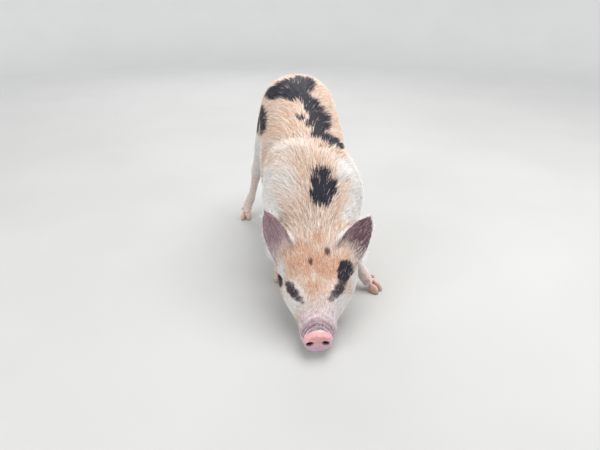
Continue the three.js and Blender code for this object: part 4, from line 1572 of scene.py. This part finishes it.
def roundedClaw(node):
    solid, faces = nodeSurface(node)
    middle = (solid.min(0) + solid.max(0)) / 2
    face = unitRows(faceCrosses(solid, faces))
    distance = ((solid[faces[:, 0]] - middle) * face).sum(1) / mm
    planes = np.unique(np.round(np.column_stack([face, distance]), 1), axis=0)
    planes = planes[planes[:, 3] > 0.3]
    ways = ballWays(hornLook["steps"], hornLook["turns"])
    power = hornLook["rounding"]
    near = np.maximum(ways @ unitRows(planes[:, :3]).T, 0) / planes[:, 3]
    reach = (near**power).sum(-1) ** (-1 / power)
    grid = middle + ways * reach[..., None] * mm
    grid[..., 2] = np.maximum(grid[..., 2], solid[:, 2].min())
    return grid.reshape(-1, 3)


def makeHornMaterial():
    material, tree = newMaterial("hoof_horn")
    inputs = {0: noiseNode(tree, 220.0), 1: 0.35, 2: attributeNode(tree, "rise")}
    waver = addNode(tree, "ShaderNodeMath", inputs, operation="MULTIPLY_ADD")[0]
    streak = variedNode(tree, 0.82, 1.1, 600.0, 2.0, (1, 1, 0.2))
    rings = noiseNode(tree, hornLook["growth"], 1.0, (0.12, 0.12, 1))
    setShader(tree, {
        "Base Color": tonedNode(tree, rampNode(tree, waver, hornLook["stops"]), streak),
        "Roughness": variedNode(tree, 0.35, 0.6, 180.0),
        "Specular IOR Level": 0.4,
        "Normal": bumpChain(tree, [(rings, 0.35, 0.0004), (noiseNode(tree, 800.0), 0.15, 0.0003)]),
    })
    return material


hornMaterial = makeHornMaterial()
for node in nodeNames:
    if "claw" not in node:
        continue
    grid = roundedClaw(node)
    mesh = newMesh("horn_" + node, grid, ringFaces(hornLook["steps"], hornLook["turns"]))
    storeValues(mesh, "rise", (grid[:, 2] - grid[:, 2].min()) / np.ptp(grid[:, 2]))
    piece = newObject("horn_" + node, mesh, hornMaterial)
    closePoles(piece)
    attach(piece, "root")
    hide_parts(node)
print("hooves made")

# Studio

studio = {
    "floor": 3.2,
    "wall": 2.6,
    "curve": 1.1,
    "turns": 96,
    "grey": (188, 188, 186),
    "glow": 0.3,  # of the backdrop, from none near the piglet
    "glowColour": (0.97, 0.98, 1.0, 1),
    "air": (0.95, 0.97, 1.0, 1),
    "airStrength": 0.6,
}


def floorMaterial():
    material, tree = newMaterial("studio_floor")
    far = addNode(tree, "ShaderNodeVectorMath", {0: placeNode(tree)}, operation="LENGTH")["Value"]
    setShader(tree, {
        "Base Color": tonedNode(tree, (*paint(*studio["grey"]), 1), variedNode(tree, 0.97, 1.02, 3.0)),
        "Roughness": 0.9,
        "Specular IOR Level": 0.1,
        "Emission Color": studio["glowColour"],
        "Emission Strength": rangeNode(tree, far, 1.2, 4.0, 0.0, studio["glow"]),
    })
    return material


# floor and backdrop: a round dish, flat out to its curve, then a quarter circle up to the wall
def makeFloor():
    bend = np.linspace(0, math.pi / 2, 16)
    flat, curve = studio["floor"], studio["curve"]
    radius = np.concatenate([[0.0001, 0.6, 1.2, 2.0], flat + curve * np.sin(bend), [flat + curve]])[:, None]
    height = np.concatenate([[0, 0, 0, 0], curve * (1 - np.cos(bend)), [studio["wall"]]])[:, None]
    around = np.linspace(0, 2 * math.pi, studio["turns"], endpoint=False)
    grid = np.stack([radius * np.cos(around), radius * np.sin(around), height + 0 * around], -1)
    faces = ringFaces(len(radius), studio["turns"])[:, ::-1]
    mesh = newMesh("studio_floor", grid.reshape(-1, 3), faces)
    floor = newObject("studio_floor", mesh, floorMaterial())


lights = {
    "sky": {"at": (0.5, 0.2, 2.2), "size": 1.9, "power": 46, "colour": (1.0, 0.99, 0.98)},
    "front": {"at": (-1.9, -1.5, 1.3), "size": 1.6, "power": 26, "colour": (1.0, 0.99, 0.98)},
    "side": {"at": (2.1, -0.9, 1.0), "size": 1.5, "power": 17, "colour": (0.99, 0.99, 1.0)},
    "back": {"at": (-0.3, 2.3, 1.7), "size": 1.0, "power": 18, "colour": (0.98, 0.99, 1.0)},
}


def makeLights():
    for name, light in lights.items():
        data = bpy.data.lights.new("light_" + name, "AREA")
        data.shape = "DISK"
        data.size = light["size"]
        data.energy = light["power"]
        data.color = light["colour"]
        lamp = bpy.data.objects.new("light_" + name, data)
        lamp.location = light["at"]
        lamp.rotation_euler = (Vector((0, 0, 0.2)) - lamp.location).to_track_quat("-Z", "Y").to_euler()
        bpy.context.scene.collection.objects.link(lamp)
    world = bpy.data.worlds.new("studio_air")
    world.use_nodes = True
    air = world.node_tree.nodes["Background"]
    air.inputs["Color"].default_value = studio["air"]
    air.inputs["Strength"].default_value = studio["airStrength"]
    bpy.context.scene.world = world
    bpy.context.scene.view_settings.view_transform = "Standard"


makeFloor()
makeLights()
print("studio made")
